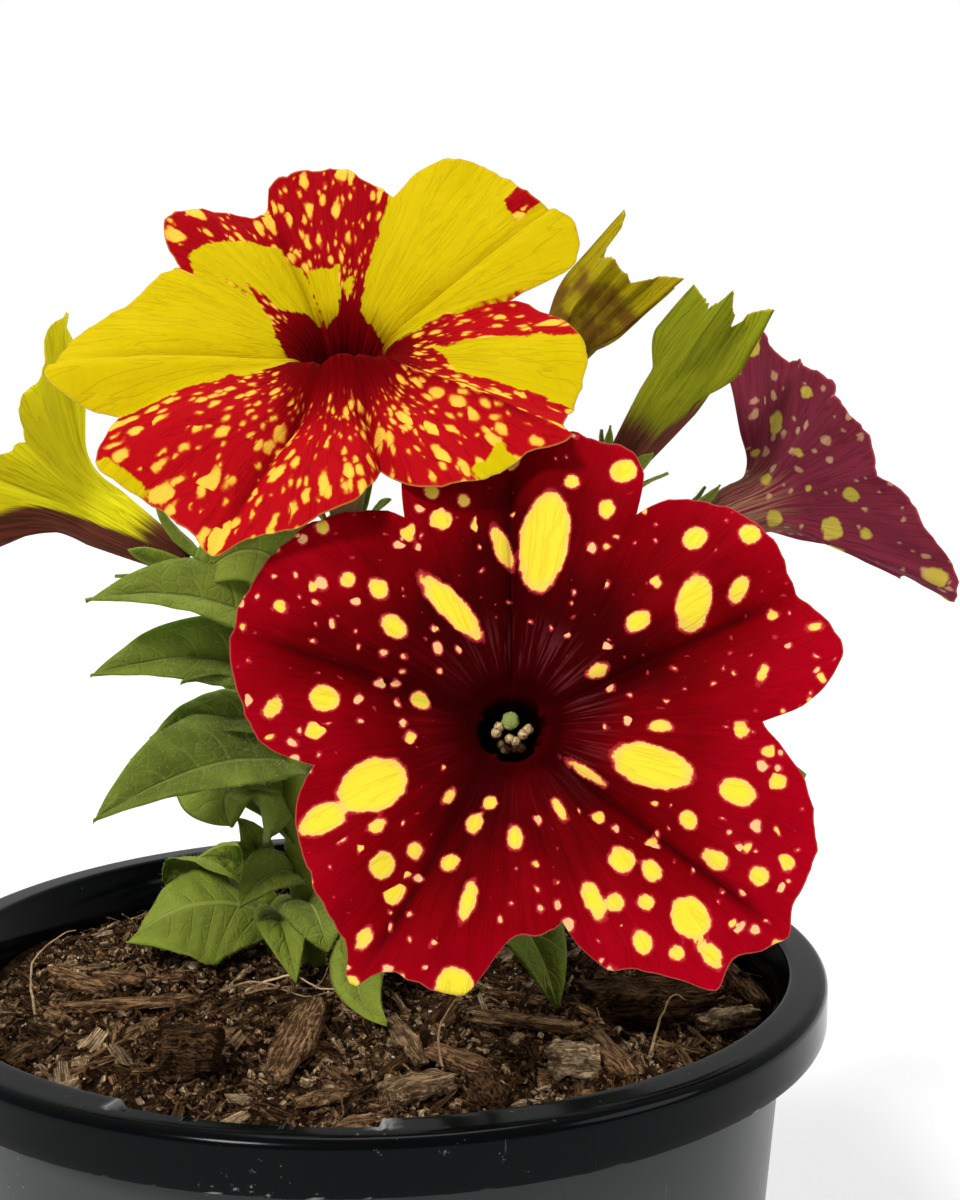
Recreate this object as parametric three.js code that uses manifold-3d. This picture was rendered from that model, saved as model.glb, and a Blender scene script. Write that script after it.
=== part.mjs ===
// A young petunia in a round nursery pot, in millimetres, +Z up.
// The origin is the centre of the pot's underside, and the main bloom faces -Y.
// Every height of the plant is measured from the pot's rim.

import * as THREE from "three";
import { mergeVertices } from "three/addons/utils/BufferGeometryUtils.js";
import Module from "manifold-3d";

// ---------------------------------------------------------------------------
// Driving dimensions
// ---------------------------------------------------------------------------

const POT = {
  height: 112,
  rimRadius: 70, // outer edge of the rolled rim: a 140 mm pot
  rimInner: 65.1, // inner edge of the rim's flat top
  rimSkin: 2, // thickness of the rim's flat top
  rimRound: 1.4, // rounding of its outer edge
  lipRound: 0.8, // rounding of its inner edge
  rimDrop: 6.5, // how far the outer band hangs down
  wallTop: 64.5, // outer radius of the wall under the rim
  taper: 0.08, // the wall narrows by this much per millimetre of depth
  wall: 1.2,
  floor: 2.2,
  corner: 1.4,
  holes: 8,
  holeRadius: 4,
  holeRing: 44,
  segments: 40,
};

// The recess for a plant label, in the inner half of the rim at the front.
const LABEL_SLOT = { from: -116, to: -89, radius: 67.4, depth: 1.2, steps: 5 };

const SOIL = {
  level: -8.5, // below the rim
  gap: 0.3, // to the pot
  bump: 1.1,
  rings: 6,
  segments: 32,
  holeDepth: 13.8,
  stemGap: 0.6,
};

// Bark chips: the least and the greatest length, width and thickness, the ring
// of soil that they lie on, and how far their middles stand above it.
const CHIPS = {
  count: 15,
  seed: 11,
  length: [8, 22],
  width: [3, 6],
  thickness: [1.6, 3.2],
  ring: [16, 50],
  proud: 0.4,
};

const BLADE = 0.66; // thickness of leaves and petals
const SEAT = 0.3; // the gap where one grown piece sits on another

// A bloom's tube, by its radii and its slope at the mouth.
const TUBE = { base: 1.6, mouth: 4.4, slope: 5 };

// The green cup that a tube stands in, the stalk under it, and its sepals, which
// lean out by lean degrees at the foot and by spread more at the tip.
const CALYX = {
  cup: 3.4,
  depth: 3.6,
  foot: 1.3,
  neck: 3,
  stalk: 1.2,
  sepals: 5,
  sepal: 13,
  sepalWidth: 3.2,
  sepalRoot: 1.2,
  lean: 12,
  spread: 24,
};

const STAMENS = { anthers: 5, ring: 1.9, filament: 0.38, anther: 1.05, stigma: 1.2, disc: 1.1 };

// Leaves: the stalk's share of the width, the fold along the midrib in degrees,
// and the waves of the margin as a share of the width.
const LEAF = { rows: 4, petiole: 0.16, fold: 24, wave: 0.05 };

// Each lobe of a bloom. Directions are in degrees anticlockwise from the right
// as the bloom faces the viewer. mid is the direction of the midrib; slope is
// the lobe's slope from the bloom's axis where it leaves the throat, and curl
// how much further it bends back; rib is the depth of the midrib's groove, or
// its height as a ridge if below zero. edge is the lobe's outline as pairs of a
// direction and the reach from the mouth, from the notch before the lobe on.
const FRONT_LOBES = [
  { mid: 25, slope: 72, curl: 14, rib: 1.4,
    edge: [[0.5, 31], [4, 36], [13, 41.5], [26, 39.5], [43, 39.5], [57, 34]] },
  { mid: 91, slope: 76, curl: 34, rib: 1.6,
    edge: [[60, 31], [63, 36], [74, 39], [91, 38], [106, 37], [115, 34]] },
  { mid: 162, slope: 74, curl: 14, rib: 1.6,
    edge: [[118.5, 30], [123, 33], [137, 36], [152, 37.5], [162, 37.5], [176, 34.5], [186, 31]] },
  { mid: 239, slope: 72, curl: 10, rib: 1.2,
    edge: [[192.5, 26], [200, 29], [213, 31], [228, 33], [238, 36.5], [246, 35], [259, 34.5], [271, 27]] },
  { mid: 322, slope: 72, curl: 10, rib: 1.2,
    edge: [[283.5, 26], [293, 33], [305, 36.5], [312, 40.5], [322, 42.5], [336, 40], [347, 37], [355, 33]] },
];

const TOP_LOBES = [
  { mid: 33, slope: 60, curl: 12, rib: 1.6,
    edge: [[16, 24.5], [18, 33], [21, 36], [25, 37.5], [33, 36], [46, 35.5], [60, 34], [68, 31]] },
  { mid: 117, slope: 60, curl: 14, rib: 1.6,
    edge: [[74, 26.5], [85, 28], [96, 30], [105, 30], [114, 28.5], [117, 26], [132, 28], [146, 31],
      [151, 29.5]] },
  { mid: 194, slope: 66, curl: 26, rib: 0.8,
    edge: [[156.5, 25.5], [175, 29.5], [184, 34], [192, 37.5], [198, 39.5], [203, 36.5]] },
  { mid: 244.5, slope: 78, curl: 28, rib: 1.2,
    edge: [[208.5, 32], [216, 36], [223, 35.3], [230, 36], [239, 36.5], [244.5, 37.7], [253, 33],
      [263, 28.5], [273, 26]] },
  { mid: 326, slope: 76, curl: 20, rib: -1.8,
    edge: [[284.5, 17.5], [288, 24], [302, 29], [310, 30], [321, 31], [326, 35], [332, 33], [352, 33],
      [364, 30]] },
];

// Where a corolla has its rows, as shares of its tube and of its limb, and its
// columns, as shares across each lobe.
const FULL_MESH = {
  rows: { tube: [0, 0.5], limb: [0, 0.12, 0.26, 0.45, 0.68, 0.88, 1] },
  shares: [0, 0.07, 0.2, 0.35, 0.5, 0.65, 0.8, 0.93],
};
const SIDE_MESH = {
  rows: { tube: [0], limb: [0, 0.18, 0.4, 0.7, 1] },
  shares: [0, 0.12, 0.3, 0.5, 0.7, 0.88],
};
const BUD_MESH = {
  rows: { tube: [0], limb: [0, 0.3, 0.65, 1] },
  shares: [0, 0.25, 0.5, 0.75],
};

const BLOOMS = [
  {
    name: "front_bloom",
    mouth: [17.5, -39, 39],
    axis: [-0.06, -0.97, 0.21],
    lobes: FRONT_LOBES,
    throat: 13,
    ruffle: 0.9,
    mesh: FULL_MESH,
    tubeLength: 30,
    colour: "#8a0614",
    stalk: { from: 1, by: [[16.5, 6, 19]] },
  },
  {
    name: "top_bloom",
    mouth: [-4.5, -24, 83],
    axis: [0, -0.79, 0.61],
    lobes: TOP_LOBES,
    throat: 13,
    ruffle: 0.8,
    mesh: FULL_MESH,
    tubeLength: 28,
    colour: "#e8c310",
    stalk: { from: 1, by: [[-8, 3, 51]] },
  },
  {
    name: "left_bloom",
    mouth: [-41, -5, 66],
    axis: [-0.86, -0.1, 0.5],
    lobes: evenLobes({
      turn: 0, slopes: [62, 72, 62, 56, 56], curl: 8, rib: 1, reaches: [26, 28, 28, 32, 31], cleft: 20,
    }),
    throat: 15,
    ruffle: 0.8,
    mesh: SIDE_MESH,
    tubeLength: 14,
    colour: "#c3b820",
    stalk: { from: 0.9, by: [[-17, 3, 46]] },
  },
  {
    name: "right_bloom",
    mouth: [62.5, 17, 68.5],
    axis: [0.93, 0.06, 0.34],
    lobes: evenLobes({
      turn: -18, slopes: [62, 76, 66, 52, 46], curl: 4, rib: 1, reaches: [28, 29, 23, 34, 34], cleft: 17,
    }),
    throat: 11,
    ruffle: 0.9,
    mesh: SIDE_MESH,
    tubeLength: 11,
    colour: "#6d1a2c",
    stalk: { from: 1, by: [[43, 14, 54]] },
  },
];

const BUDS = [
  {
    name: "opening_bud",
    mouth: [30.5, 17, 95.5],
    axis: [0.66, -0.04, 0.75],
    lobes: evenLobes({
      turn: -18, slopes: [20, 18, 22, 22, 20], curl: 6, rib: 1.4, reaches: [20, 21, 25, 22, 20], cleft: 12,
    }),
    throat: 8,
    ruffle: 0.2,
    mesh: BUD_MESH,
    tubeLength: 12,
    colour: "#9c9512",
    stalk: { from: 0.96, by: [[22, 14, 66]] },
  },
  {
    name: "fluted_bud",
    mouth: [46.7, 2, 86.2],
    axis: [0.57, 0, 0.82],
    lobes: evenLobes({
      turn: 0, slopes: [12, 10, 12, 14, 13], curl: 2, rib: 1.6, reaches: [18, 18, 18, 19, 18], cleft: 13,
    }),
    throat: 8,
    ruffle: 0.2,
    mesh: BUD_MESH,
    tubeLength: 18,
    colour: "#7f9a22",
    stalk: { from: 1, by: [[31, 8, 64]] },
  },
];

/** Like lobes with round outlines, each with a reach of its own; turn rolls them, in degrees. */
function evenLobes({ turn, slopes, curl, rib, reaches, cleft }) {
  const width = 360 / reaches.length;
  return reaches.map((reach, index) => {
    const slope = slopes[index];
    const start = width * index - width / 4 + turn;
    const shares = [0, 0.1, 0.3, 0.5, 0.7, 0.9];
    const bulge = (share) => (1 - Math.abs(2 * share - 1) ** 2.4) ** 0.62;
    const edge = shares.map((share) => [start + width * share, cleft + (reach - cleft) * bulge(share)]);
    return { mid: start + width / 2, slope, curl, rib, edge };
  });
}

// ---------------------------------------------------------------------------
// Small tools
// ---------------------------------------------------------------------------

const wasm = await Module();
wasm.setup();

const RADIANS = Math.PI / 180;

/** Eases from 0 to 1 with level ends. */
function ease(t) {
  const c = Math.min(Math.max(t, 0), 1);
  return c * c * (3 - 2 * c);
}

/** A point of the plant, its height measured from the rim. */
function above(point) {
  return new THREE.Vector3(point[0], point[1], point[2] + POT.height);
}

/** A repeatable source of numbers from 0 to 1. */
function seeded(seed) {
  let state = seed >>> 0;
  return () => {
    state = (Math.imul(state, 1664525) + 1013904223) >>> 0;
    return state / 4294967296;
  };
}

/** A geometry from a list of Vector3 and a flat list of triangle corners. */
function meshOf(points, triangles) {
  const geometry = new THREE.BufferGeometry();
  const flat = points.flatMap((p) => [p.x, p.y, p.z]);
  geometry.setAttribute("position", new THREE.Float32BufferAttribute(flat, 3));
  geometry.setIndex(triangles);
  return geometry;
}

/** The solid that a closed geometry bounds. */
function solid(geometry) {
  const bare = geometry.clone();
  bare.deleteAttribute("normal");
  bare.deleteAttribute("uv");
  const merged = mergeVertices(bare, 1e-4);
  return new wasm.Manifold(new wasm.Mesh({
    numProp: 3,
    vertProperties: new Float32Array(merged.attributes.position.array),
    triVerts: new Uint32Array(merged.index.array),
  }));
}

/** The geometry of a solid. */
function geometryOf(shape) {
  const mesh = shape.getMesh();
  const geometry = new THREE.BufferGeometry();
  geometry.setAttribute("position", new THREE.BufferAttribute(new Float32Array(mesh.vertProperties), 3));
  geometry.setIndex(new THREE.BufferAttribute(new Uint32Array(mesh.triVerts), 1));
  return geometry;
}

/** Joins solids into one. */
function joined(shapes) {
  return shapes.reduce((sum, shape) => sum.add(shape));
}

/**
 * A closed blade from a grid of points on its upper face and the same grid on
 * its lower face, split into triangles alike on both.
 */
function blade(upper, lower) {
  const rows = upper.length;
  const columns = upper[0].length;
  const points = [...upper.flat(), ...lower.flat()];
  const up = (i, j) => i * columns + j;
  const down = (i, j) => rows * columns + i * columns + j;
  const triangles = [];
  for (let i = 0; i < rows - 1; i++) {
    for (let j = 0; j < columns - 1; j++) {
      triangles.push(up(i, j), up(i + 1, j + 1), up(i, j + 1));
      triangles.push(up(i, j), up(i + 1, j), up(i + 1, j + 1));
      triangles.push(down(i, j), down(i, j + 1), down(i + 1, j + 1));
      triangles.push(down(i, j), down(i + 1, j + 1), down(i + 1, j));
    }
  }
  const edge = [];
  for (let j = 0; j < columns - 1; j++) edge.push([0, j]);
  for (let i = 0; i < rows - 1; i++) edge.push([i, columns - 1]);
  for (let j = columns - 1; j > 0; j--) edge.push([rows - 1, j]);
  for (let i = rows - 1; i > 0; i--) edge.push([i, 0]);
  edge.forEach(([i, j], k) => {
    const [m, n] = edge[(k + 1) % edge.length];
    triangles.push(up(i, j), down(m, n), down(i, j));
    triangles.push(up(i, j), up(m, n), down(m, n));
  });
  return meshOf(points, triangles);
}

/** A round tube along points, its radius changing evenly between the given ones. */
function taperedTube(points, radii, sides, steps) {
  const curve = new THREE.CatmullRomCurve3(points, false, "centripetal");
  const frames = curve.computeFrenetFrames(steps, false);
  const rings = [];
  for (let i = 0; i <= steps; i++) {
    const t = i / steps;
    const centre = curve.getPointAt(t);
    const place = t * (radii.length - 1);
    const k = Math.min(Math.floor(place), radii.length - 2);
    const radius = THREE.MathUtils.lerp(radii[k], radii[k + 1], place - k);
    const ring = [];
    for (let j = 0; j < sides; j++) {
      const angle = (2 * Math.PI * j) / sides;
      ring.push(centre.clone()
        .addScaledVector(frames.normals[i], radius * Math.cos(angle))
        .addScaledVector(frames.binormals[i], radius * Math.sin(angle)));
    }
    rings.push(ring);
  }
  const all = [...rings.flat(), curve.getPointAt(0), curve.getPointAt(1)];
  const triangles = [];
  for (let i = 0; i < steps; i++) {
    for (let j = 0; j < sides; j++) {
      const a = i * sides + j;
      const b = i * sides + ((j + 1) % sides);
      triangles.push(a, b, b + sides, a, b + sides, a + sides);
    }
  }
  const first = rings.length * sides;
  const last = steps * sides;
  for (let j = 0; j < sides; j++) {
    const next = (j + 1) % sides;
    triangles.push(first, next, j);
    triangles.push(first + 1, last + j, last + next);
  }
  return { geometry: meshOf(all, triangles), curve };
}

// ---------------------------------------------------------------------------
// The pot and its soil
// ---------------------------------------------------------------------------

/** Outer radius of the pot's wall at a depth below the rim. */
function wallRadius(depth) {
  return POT.wallTop - POT.taper * depth;
}

/** Inner radius of the pot's wall at a depth below the rim. */
function innerRadius(depth) {
  return wallRadius(depth) - POT.wall;
}

/** Points of a quarter circle in a profile, from a start angle in degrees. */
function quarter(centreRadius, centreHeight, radius, start) {
  const steps = 3;
  const points = [];
  for (let i = 0; i <= steps; i++) {
    const angle = (start + (90 * i) / steps) * RADIANS;
    points.push([centreRadius + radius * Math.cos(angle), centreHeight + radius * Math.sin(angle)]);
  }
  return points;
}

/** The pot: a turned shell with a rolled rim, a label slot and drain holes. */
function potShape() {
  const top = POT.height;
  const foot = wallRadius(top);
  const underRim = top - POT.rimSkin;
  const outerFace = POT.rimRadius - POT.rimRound;
  const lip = POT.rimInner;
  const profile = [
    [0, 0],
    [foot - POT.corner, 0],
    [foot, POT.corner],
    [wallRadius(POT.rimDrop), top - POT.rimDrop],
    [wallRadius(POT.rimSkin), underRim],
    [POT.rimRadius - POT.wall, underRim],
    [POT.rimRadius - POT.wall, top - POT.rimDrop],
    [POT.rimRadius, top - POT.rimDrop],
    ...quarter(outerFace, top - POT.rimRound, POT.rimRound, 0),
    ...quarter(lip, top - POT.lipRound, POT.lipRound, 90),
    [innerRadius(POT.rimSkin), underRim],
    [innerRadius(top - POT.floor - POT.corner), POT.floor + POT.corner],
    [innerRadius(top) - POT.corner, POT.floor],
    [0, POT.floor],
  ];
  const points = profile.map(([radius, height]) => new THREE.Vector2(radius, height));
  const shell = new THREE.LatheGeometry(points, POT.segments);
  shell.rotateX(Math.PI / 2);
  let shape = solid(shell);
  for (let i = 0; i < POT.holes; i++) {
    const angle = (2 * Math.PI * (i + 0.5)) / POT.holes;
    const drill = new THREE.CylinderGeometry(POT.holeRadius, POT.holeRadius, 4 * POT.floor, 10);
    drill.rotateX(Math.PI / 2);
    drill.translate(POT.holeRing * Math.cos(angle), POT.holeRing * Math.sin(angle), 0);
    shape = shape.subtract(solid(drill));
  }
  return geometryOf(shape.subtract(solid(labelSlotCutter())));
}

/** The block that cuts the label slot out of the rim. */
function labelSlotCutter() {
  const steps = LABEL_SLOT.steps;
  const outline = new THREE.Shape();
  const from = LABEL_SLOT.from * RADIANS;
  const to = LABEL_SLOT.to * RADIANS;
  const insideRadius = POT.rimInner - 2 * POT.lipRound;
  outline.moveTo(insideRadius * Math.cos(from), insideRadius * Math.sin(from));
  for (let i = 0; i <= steps; i++) {
    const angle = from + ((to - from) * i) / steps;
    outline.lineTo(LABEL_SLOT.radius * Math.cos(angle), LABEL_SLOT.radius * Math.sin(angle));
  }
  for (let i = steps; i > 0; i--) {
    const angle = from + ((to - from) * i) / steps;
    outline.lineTo(insideRadius * Math.cos(angle), insideRadius * Math.sin(angle));
  }
  const cutter = new THREE.ExtrudeGeometry(outline, { depth: 2 * LABEL_SLOT.depth, bevelEnabled: false });
  cutter.translate(0, 0, POT.height - LABEL_SLOT.depth);
  return cutter;
}

/** Height of the soil's uneven top over a place in the pot. */
function soilHeight(x, y) {
  const rolls = Math.sin(x * 0.13 + 1.2) * Math.cos(y * 0.11 - 0.4) + 0.5 * Math.sin(x * 0.31 - y * 0.27);
  return POT.height + SOIL.level + SOIL.bump * rolls;
}

/** The soil: it fills the pot, its top is uneven, and bark chips stand out of it. */
function soilShape(stems) {
  const bottom = POT.floor + SOIL.gap;
  const flat = Math.cos(Math.PI / POT.segments); // how near a facet of the wall comes to the axis
  const foot = (innerRadius(POT.height) - POT.corner) * flat - SOIL.gap;
  const edge = innerRadius(2 * SOIL.bump - SOIL.level) * flat - SOIL.gap;
  const points = [new THREE.Vector3(0, 0, soilHeight(0, 0))];
  const triangles = [];
  const n = SOIL.segments;
  for (let i = 1; i <= SOIL.rings; i++) {
    const radius = (edge * i) / SOIL.rings;
    for (let j = 0; j < n; j++) {
      const angle = (2 * Math.PI * (j + 0.5 * (i % 2))) / n;
      const x = radius * Math.cos(angle);
      const y = radius * Math.sin(angle);
      points.push(new THREE.Vector3(x, y, soilHeight(x, y)));
    }
  }
  const below = points.length;
  const last = below - n;
  for (let j = 0; j < n; j++) {
    const angle = (2 * Math.PI * (j + 0.5 * (SOIL.rings % 2))) / n;
    points.push(new THREE.Vector3(foot * Math.cos(angle), foot * Math.sin(angle), bottom));
  }
  points.push(new THREE.Vector3(0, 0, bottom));
  for (let j = 0; j < n; j++) {
    const next = (j + 1) % n;
    triangles.push(0, 1 + j, 1 + next);
    triangles.push(last + j, below + j, below + next, last + j, below + next, last + next);
    triangles.push(below + n, below + next, below + j);
  }
  for (let i = 1; i < SOIL.rings; i++) {
    const a = 1 + (i - 1) * n;
    const b = a + n;
    for (let j = 0; j < n; j++) {
      const next = (j + 1) % n;
      if (i % 2) {
        triangles.push(a + j, b + j, a + next, b + j, b + next, a + next);
      } else {
        triangles.push(a + j, b + j, b + next, a + j, b + next, a + next);
      }
    }
  }
  let shape = joined([solid(meshOf(points, triangles)), ...barkChips()]);
  for (const stem of stems) {
    const [x, y] = stem.path[0];
    const radius = stem.radii[0] + SOIL.stemGap;
    const drill = new THREE.CylinderGeometry(radius, radius, 2 * SOIL.holeDepth, 8);
    drill.rotateX(Math.PI / 2);
    drill.translate(x, y, POT.height + SOIL.level);
    shape = shape.subtract(solid(drill));
  }
  return geometryOf(shape);
}

/** Bark chips lying half sunk in the soil's top, spread over it at random. */
function barkChips() {
  const random = seeded(CHIPS.seed);
  const between = ([low, high], share) => low + (high - low) * share;
  const chips = [];
  while (chips.length < CHIPS.count) {
    const angle = 2 * Math.PI * random();
    const radius = between(CHIPS.ring, Math.sqrt(random()));
    const length = between(CHIPS.length, random() ** 2);
    const width = between(CHIPS.width, random());
    const chip = new THREE.BoxGeometry(length, width, between(CHIPS.thickness, random()));
    chip.rotateX(0.6 * (random() - 0.5));
    chip.rotateY(0.3 * (random() - 0.5));
    chip.rotateZ(Math.PI * random());
    const x = radius * Math.cos(angle);
    const y = radius * Math.sin(angle);
    chip.translate(x, y, soilHeight(x, y) + CHIPS.proud);
    chips.push(solid(chip));
  }
  return chips;
}

// ---------------------------------------------------------------------------
// Blooms
// ---------------------------------------------------------------------------

/** The bloom's own right, up and outward directions. */
function bloomFrame(bloom) {
  const axis = new THREE.Vector3(...bloom.axis).normalize();
  const up = new THREE.Vector3(0, 0, 1).addScaledVector(axis, -axis.z).normalize();
  const right = new THREE.Vector3().crossVectors(up, axis);
  return { axis, up, right, mouth: above(bloom.mouth) };
}

/** The direction away from a bloom's axis at an angle round it. */
function outwardAt({ right, up }, angle) {
  return right.clone().multiplyScalar(Math.cos(angle)).addScaledVector(up, Math.sin(angle));
}

/** The notch that ends a lobe, as a direction and a reach: the next lobe's first. */
function lobeEnd(lobes, index) {
  const last = index === lobes.length - 1;
  const [direction, reach] = lobes[last ? 0 : index + 1].edge[0];
  return [direction + (last ? 360 : 0), reach];
}

/** Direction in degrees at a share (0 to 1) across a lobe. */
function lobeAngle(lobes, index, share) {
  const { mid, edge } = lobes[index];
  const start = edge[0][0];
  const end = lobeEnd(lobes, index)[0];
  return share < 0.5 ? start + 2 * share * (mid - start) : mid + (2 * share - 1) * (end - mid);
}

/** Reach from the mouth to the margin in a direction, on a smooth line through the lobe's edge. */
function lobeReach(lobes, index, direction) {
  const edge = [...lobes[index].edge, lobeEnd(lobes, index)];
  let k = 0;
  while (k < edge.length - 2 && direction > edge[k + 1][0]) k += 1;
  const [from, to] = [edge[k], edge[k + 1]];
  const rise = (a, b) => (b[1] - a[1]) / (b[0] - a[0]);
  const here = rise(from, to);
  const before = k > 0 ? (rise(edge[k - 1], from) + here) / 2 : here;
  const after = k < edge.length - 2 ? (rise(to, edge[k + 2]) + here) / 2 : here;
  const span = to[0] - from[0];
  const t = (direction - from[0]) / span;
  const level = from[1] * (1 - ease(t)) + to[1] * ease(t);
  return level + span * (before * t * (1 - t) ** 2 - after * t * t * (1 - t));
}

/** A lobe's value blended towards its neighbour's away from its midrib. */
function lobeBlend(lobes, index, share, key) {
  const count = lobes.length;
  const other = share < 0.5 ? lobes[(index + count - 1) % count] : lobes[(index + 1) % count];
  const away = ease(Math.abs(share - 0.5) * 2) / 2;
  return lobes[index][key] * (1 - away) + other[key] * away;
}

/**
 * One line of a corolla from the base of its tube to its margin, as places
 * [radius, height along the axis, slope], at one share across one lobe.
 */
function petalLine(bloom, index, share, rows) {
  const reach = lobeReach(bloom.lobes, index, lobeAngle(bloom.lobes, index, share));
  const slope = lobeBlend(bloom.lobes, index, share, "slope");
  const curl = lobeBlend(bloom.lobes, index, share, "curl");
  const throat = Math.min(bloom.throat, 0.5 * reach);
  const line = [];
  for (const part of rows.tube) {
    const radius = TUBE.base + (TUBE.mouth - TUBE.base) * part;
    line.push({ radius, height: -bloom.tubeLength * (1 - part), slope: TUBE.slope, part: 0 });
  }
  const steps = 48;
  let radius = TUBE.mouth;
  let height = 0;
  let next = 0;
  for (let k = 0; k <= steps; k++) {
    const arc = (reach * k) / steps;
    const turn = ease(arc / throat);
    const rolled = Math.max(arc - throat, 0) / (reach - throat);
    const angle = TUBE.slope + (slope - TUBE.slope) * turn + curl * rolled;
    while (next < rows.limb.length && k >= Math.round(rows.limb[next] * steps)) {
      line.push({ radius, height, slope: angle, part: rows.limb[next] });
      next += 1;
    }
    radius += (reach / steps) * Math.sin(angle * RADIANS);
    height += (reach / steps) * Math.cos(angle * RADIANS);
  }
  return line;
}

/** The two faces of a corolla: rings of points from the tube's base to the margin. */
function corollaRings(bloom) {
  const frame = bloomFrame(bloom);
  const { axis, mouth } = frame;
  const { rows, shares } = bloom.mesh;
  const inside = [];
  const outside = [];
  bloom.lobes.forEach((lobe, index) => {
    for (const share of shares) {
      const angle = lobeAngle(bloom.lobes, index, share) * RADIANS;
      const outward = outwardAt(frame, angle);
      const line = petalLine(bloom, index, share, rows);
      const groove = lobe.rib * Math.exp(-(((share - 0.5) / 0.1) ** 2));
      const ridge = 0.6 * Math.exp(-((Math.min(share, 1 - share) / 0.12) ** 2));
      inside.push([]);
      outside.push([]);
      for (const place of line) {
        const grown = ease(place.part / 0.45);
        const wave = Math.sin(13 * angle + 0.7 * index) * place.part ** 3;
        const lift = grown * (ridge - groove) + bloom.ruffle * wave;
        const lean = place.slope * RADIANS;
        const face = axis.clone().multiplyScalar(Math.sin(lean)).addScaledVector(outward, -Math.cos(lean));
        const point = mouth.clone()
          .addScaledVector(axis, place.height)
          .addScaledVector(outward, place.radius)
          .addScaledVector(face, lift);
        inside.at(-1).push(point);
        outside.at(-1).push(point.clone().addScaledVector(face, -BLADE));
      }
    }
  });
  return { inside, outside };
}

/** A corolla: a funnel of thin petals joined side by side, closed at its base. */
function corollaShape(bloom) {
  const { inside, outside } = corollaRings(bloom);
  const { axis, mouth } = bloomFrame(bloom);
  const columns = inside.length;
  const rows = inside[0].length;
  const floor = mouth.clone().addScaledVector(axis, -bloom.tubeLength);
  const points = [...inside.flat(), ...outside.flat(), floor, floor.clone().addScaledVector(axis, -BLADE)];
  const inner = (j, i) => (j % columns) * rows + i;
  const outer = (j, i) => columns * rows + (j % columns) * rows + i;
  const triangles = [];
  for (let j = 0; j < columns; j++) {
    for (let i = 0; i < rows - 1; i++) {
      triangles.push(inner(j, i), inner(j, i + 1), inner(j + 1, i + 1));
      triangles.push(inner(j, i), inner(j + 1, i + 1), inner(j + 1, i));
      triangles.push(outer(j, i), outer(j + 1, i + 1), outer(j, i + 1));
      triangles.push(outer(j, i), outer(j + 1, i), outer(j + 1, i + 1));
    }
    const top = rows - 1;
    triangles.push(inner(j, top), outer(j, top), outer(j + 1, top));
    triangles.push(inner(j, top), outer(j + 1, top), inner(j + 1, top));
    triangles.push(2 * columns * rows, inner(j, 0), inner(j + 1, 0));
    triangles.push(2 * columns * rows + 1, outer(j + 1, 0), outer(j, 0));
  }
  return meshOf(points, triangles);
}

/** Five anthers on filaments round a style with its stigma, on one small disc. */
function stamenShape(bloom) {
  const frame = bloomFrame(bloom);
  const { axis, mouth } = frame;
  const base = mouth.clone().addScaledVector(axis, -bloom.tubeLength + SEAT);
  const at = (radius, angle, height) => base.clone()
    .addScaledVector(axis, height)
    .addScaledVector(outwardAt(frame, angle), radius);
  const disc = taperedTube([at(0, 0, 0), at(0, 0, 1)], [STAMENS.disc, STAMENS.disc], 5, 1).geometry;
  const shapes = [solid(disc)];
  for (let i = 0; i <= STAMENS.anthers; i++) {
    const isStyle = i === STAMENS.anthers;
    const angle = (2 * Math.PI * i) / STAMENS.anthers + 0.4;
    const spread = isStyle ? 0.2 : STAMENS.ring;
    const length = bloom.tubeLength + (isStyle ? 1.4 : -1.6 - 1.3 * (i % 3));
    const rod = [at(spread * 0.3, angle, 0.4), at(spread, angle, length)];
    shapes.push(solid(taperedTube(rod, [STAMENS.filament, STAMENS.filament], 3, 1).geometry));
    const head = new THREE.OctahedronGeometry(isStyle ? STAMENS.stigma : STAMENS.anther);
    head.scale(1, 1, 1.25);
    head.translate(...at(spread, angle, length));
    shapes.push(solid(head));
  }
  return geometryOf(joined(shapes));
}

/** The solids of a bloom's stalk and calyx: a cup and five narrow sepals. */
function stalkSolids(bloom, stem) {
  const frame = bloomFrame(bloom);
  const { axis, mouth } = frame;
  const seat = mouth.clone().addScaledVector(axis, -bloom.tubeLength - BLADE - SEAT);
  const cupFoot = seat.clone().addScaledVector(axis, -CALYX.depth);
  const way = [stem.getPointAt(bloom.stalk.from), ...bloom.stalk.by.map(above)];
  way.push(cupFoot.clone().addScaledVector(axis, -CALYX.neck));
  way.push(cupFoot.clone().addScaledVector(axis, CALYX.depth / 4));
  const cup = [cupFoot, cupFoot.clone().addScaledVector(axis, CALYX.depth / 2), seat];
  const solids = [
    solid(taperedTube(way, [CALYX.stalk, CALYX.stalk], 6, 5).geometry),
    solid(taperedTube(cup, [CALYX.foot, CALYX.cup - 0.5, CALYX.cup], 8, 2).geometry),
  ];
  for (let i = 0; i < CALYX.sepals; i++) {
    const angle = (2 * Math.PI * (i + 0.75)) / CALYX.sepals;
    solids.push(solid(sepalBlade(seat, axis, outwardAt(frame, angle))));
  }
  return solids;
}

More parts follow.
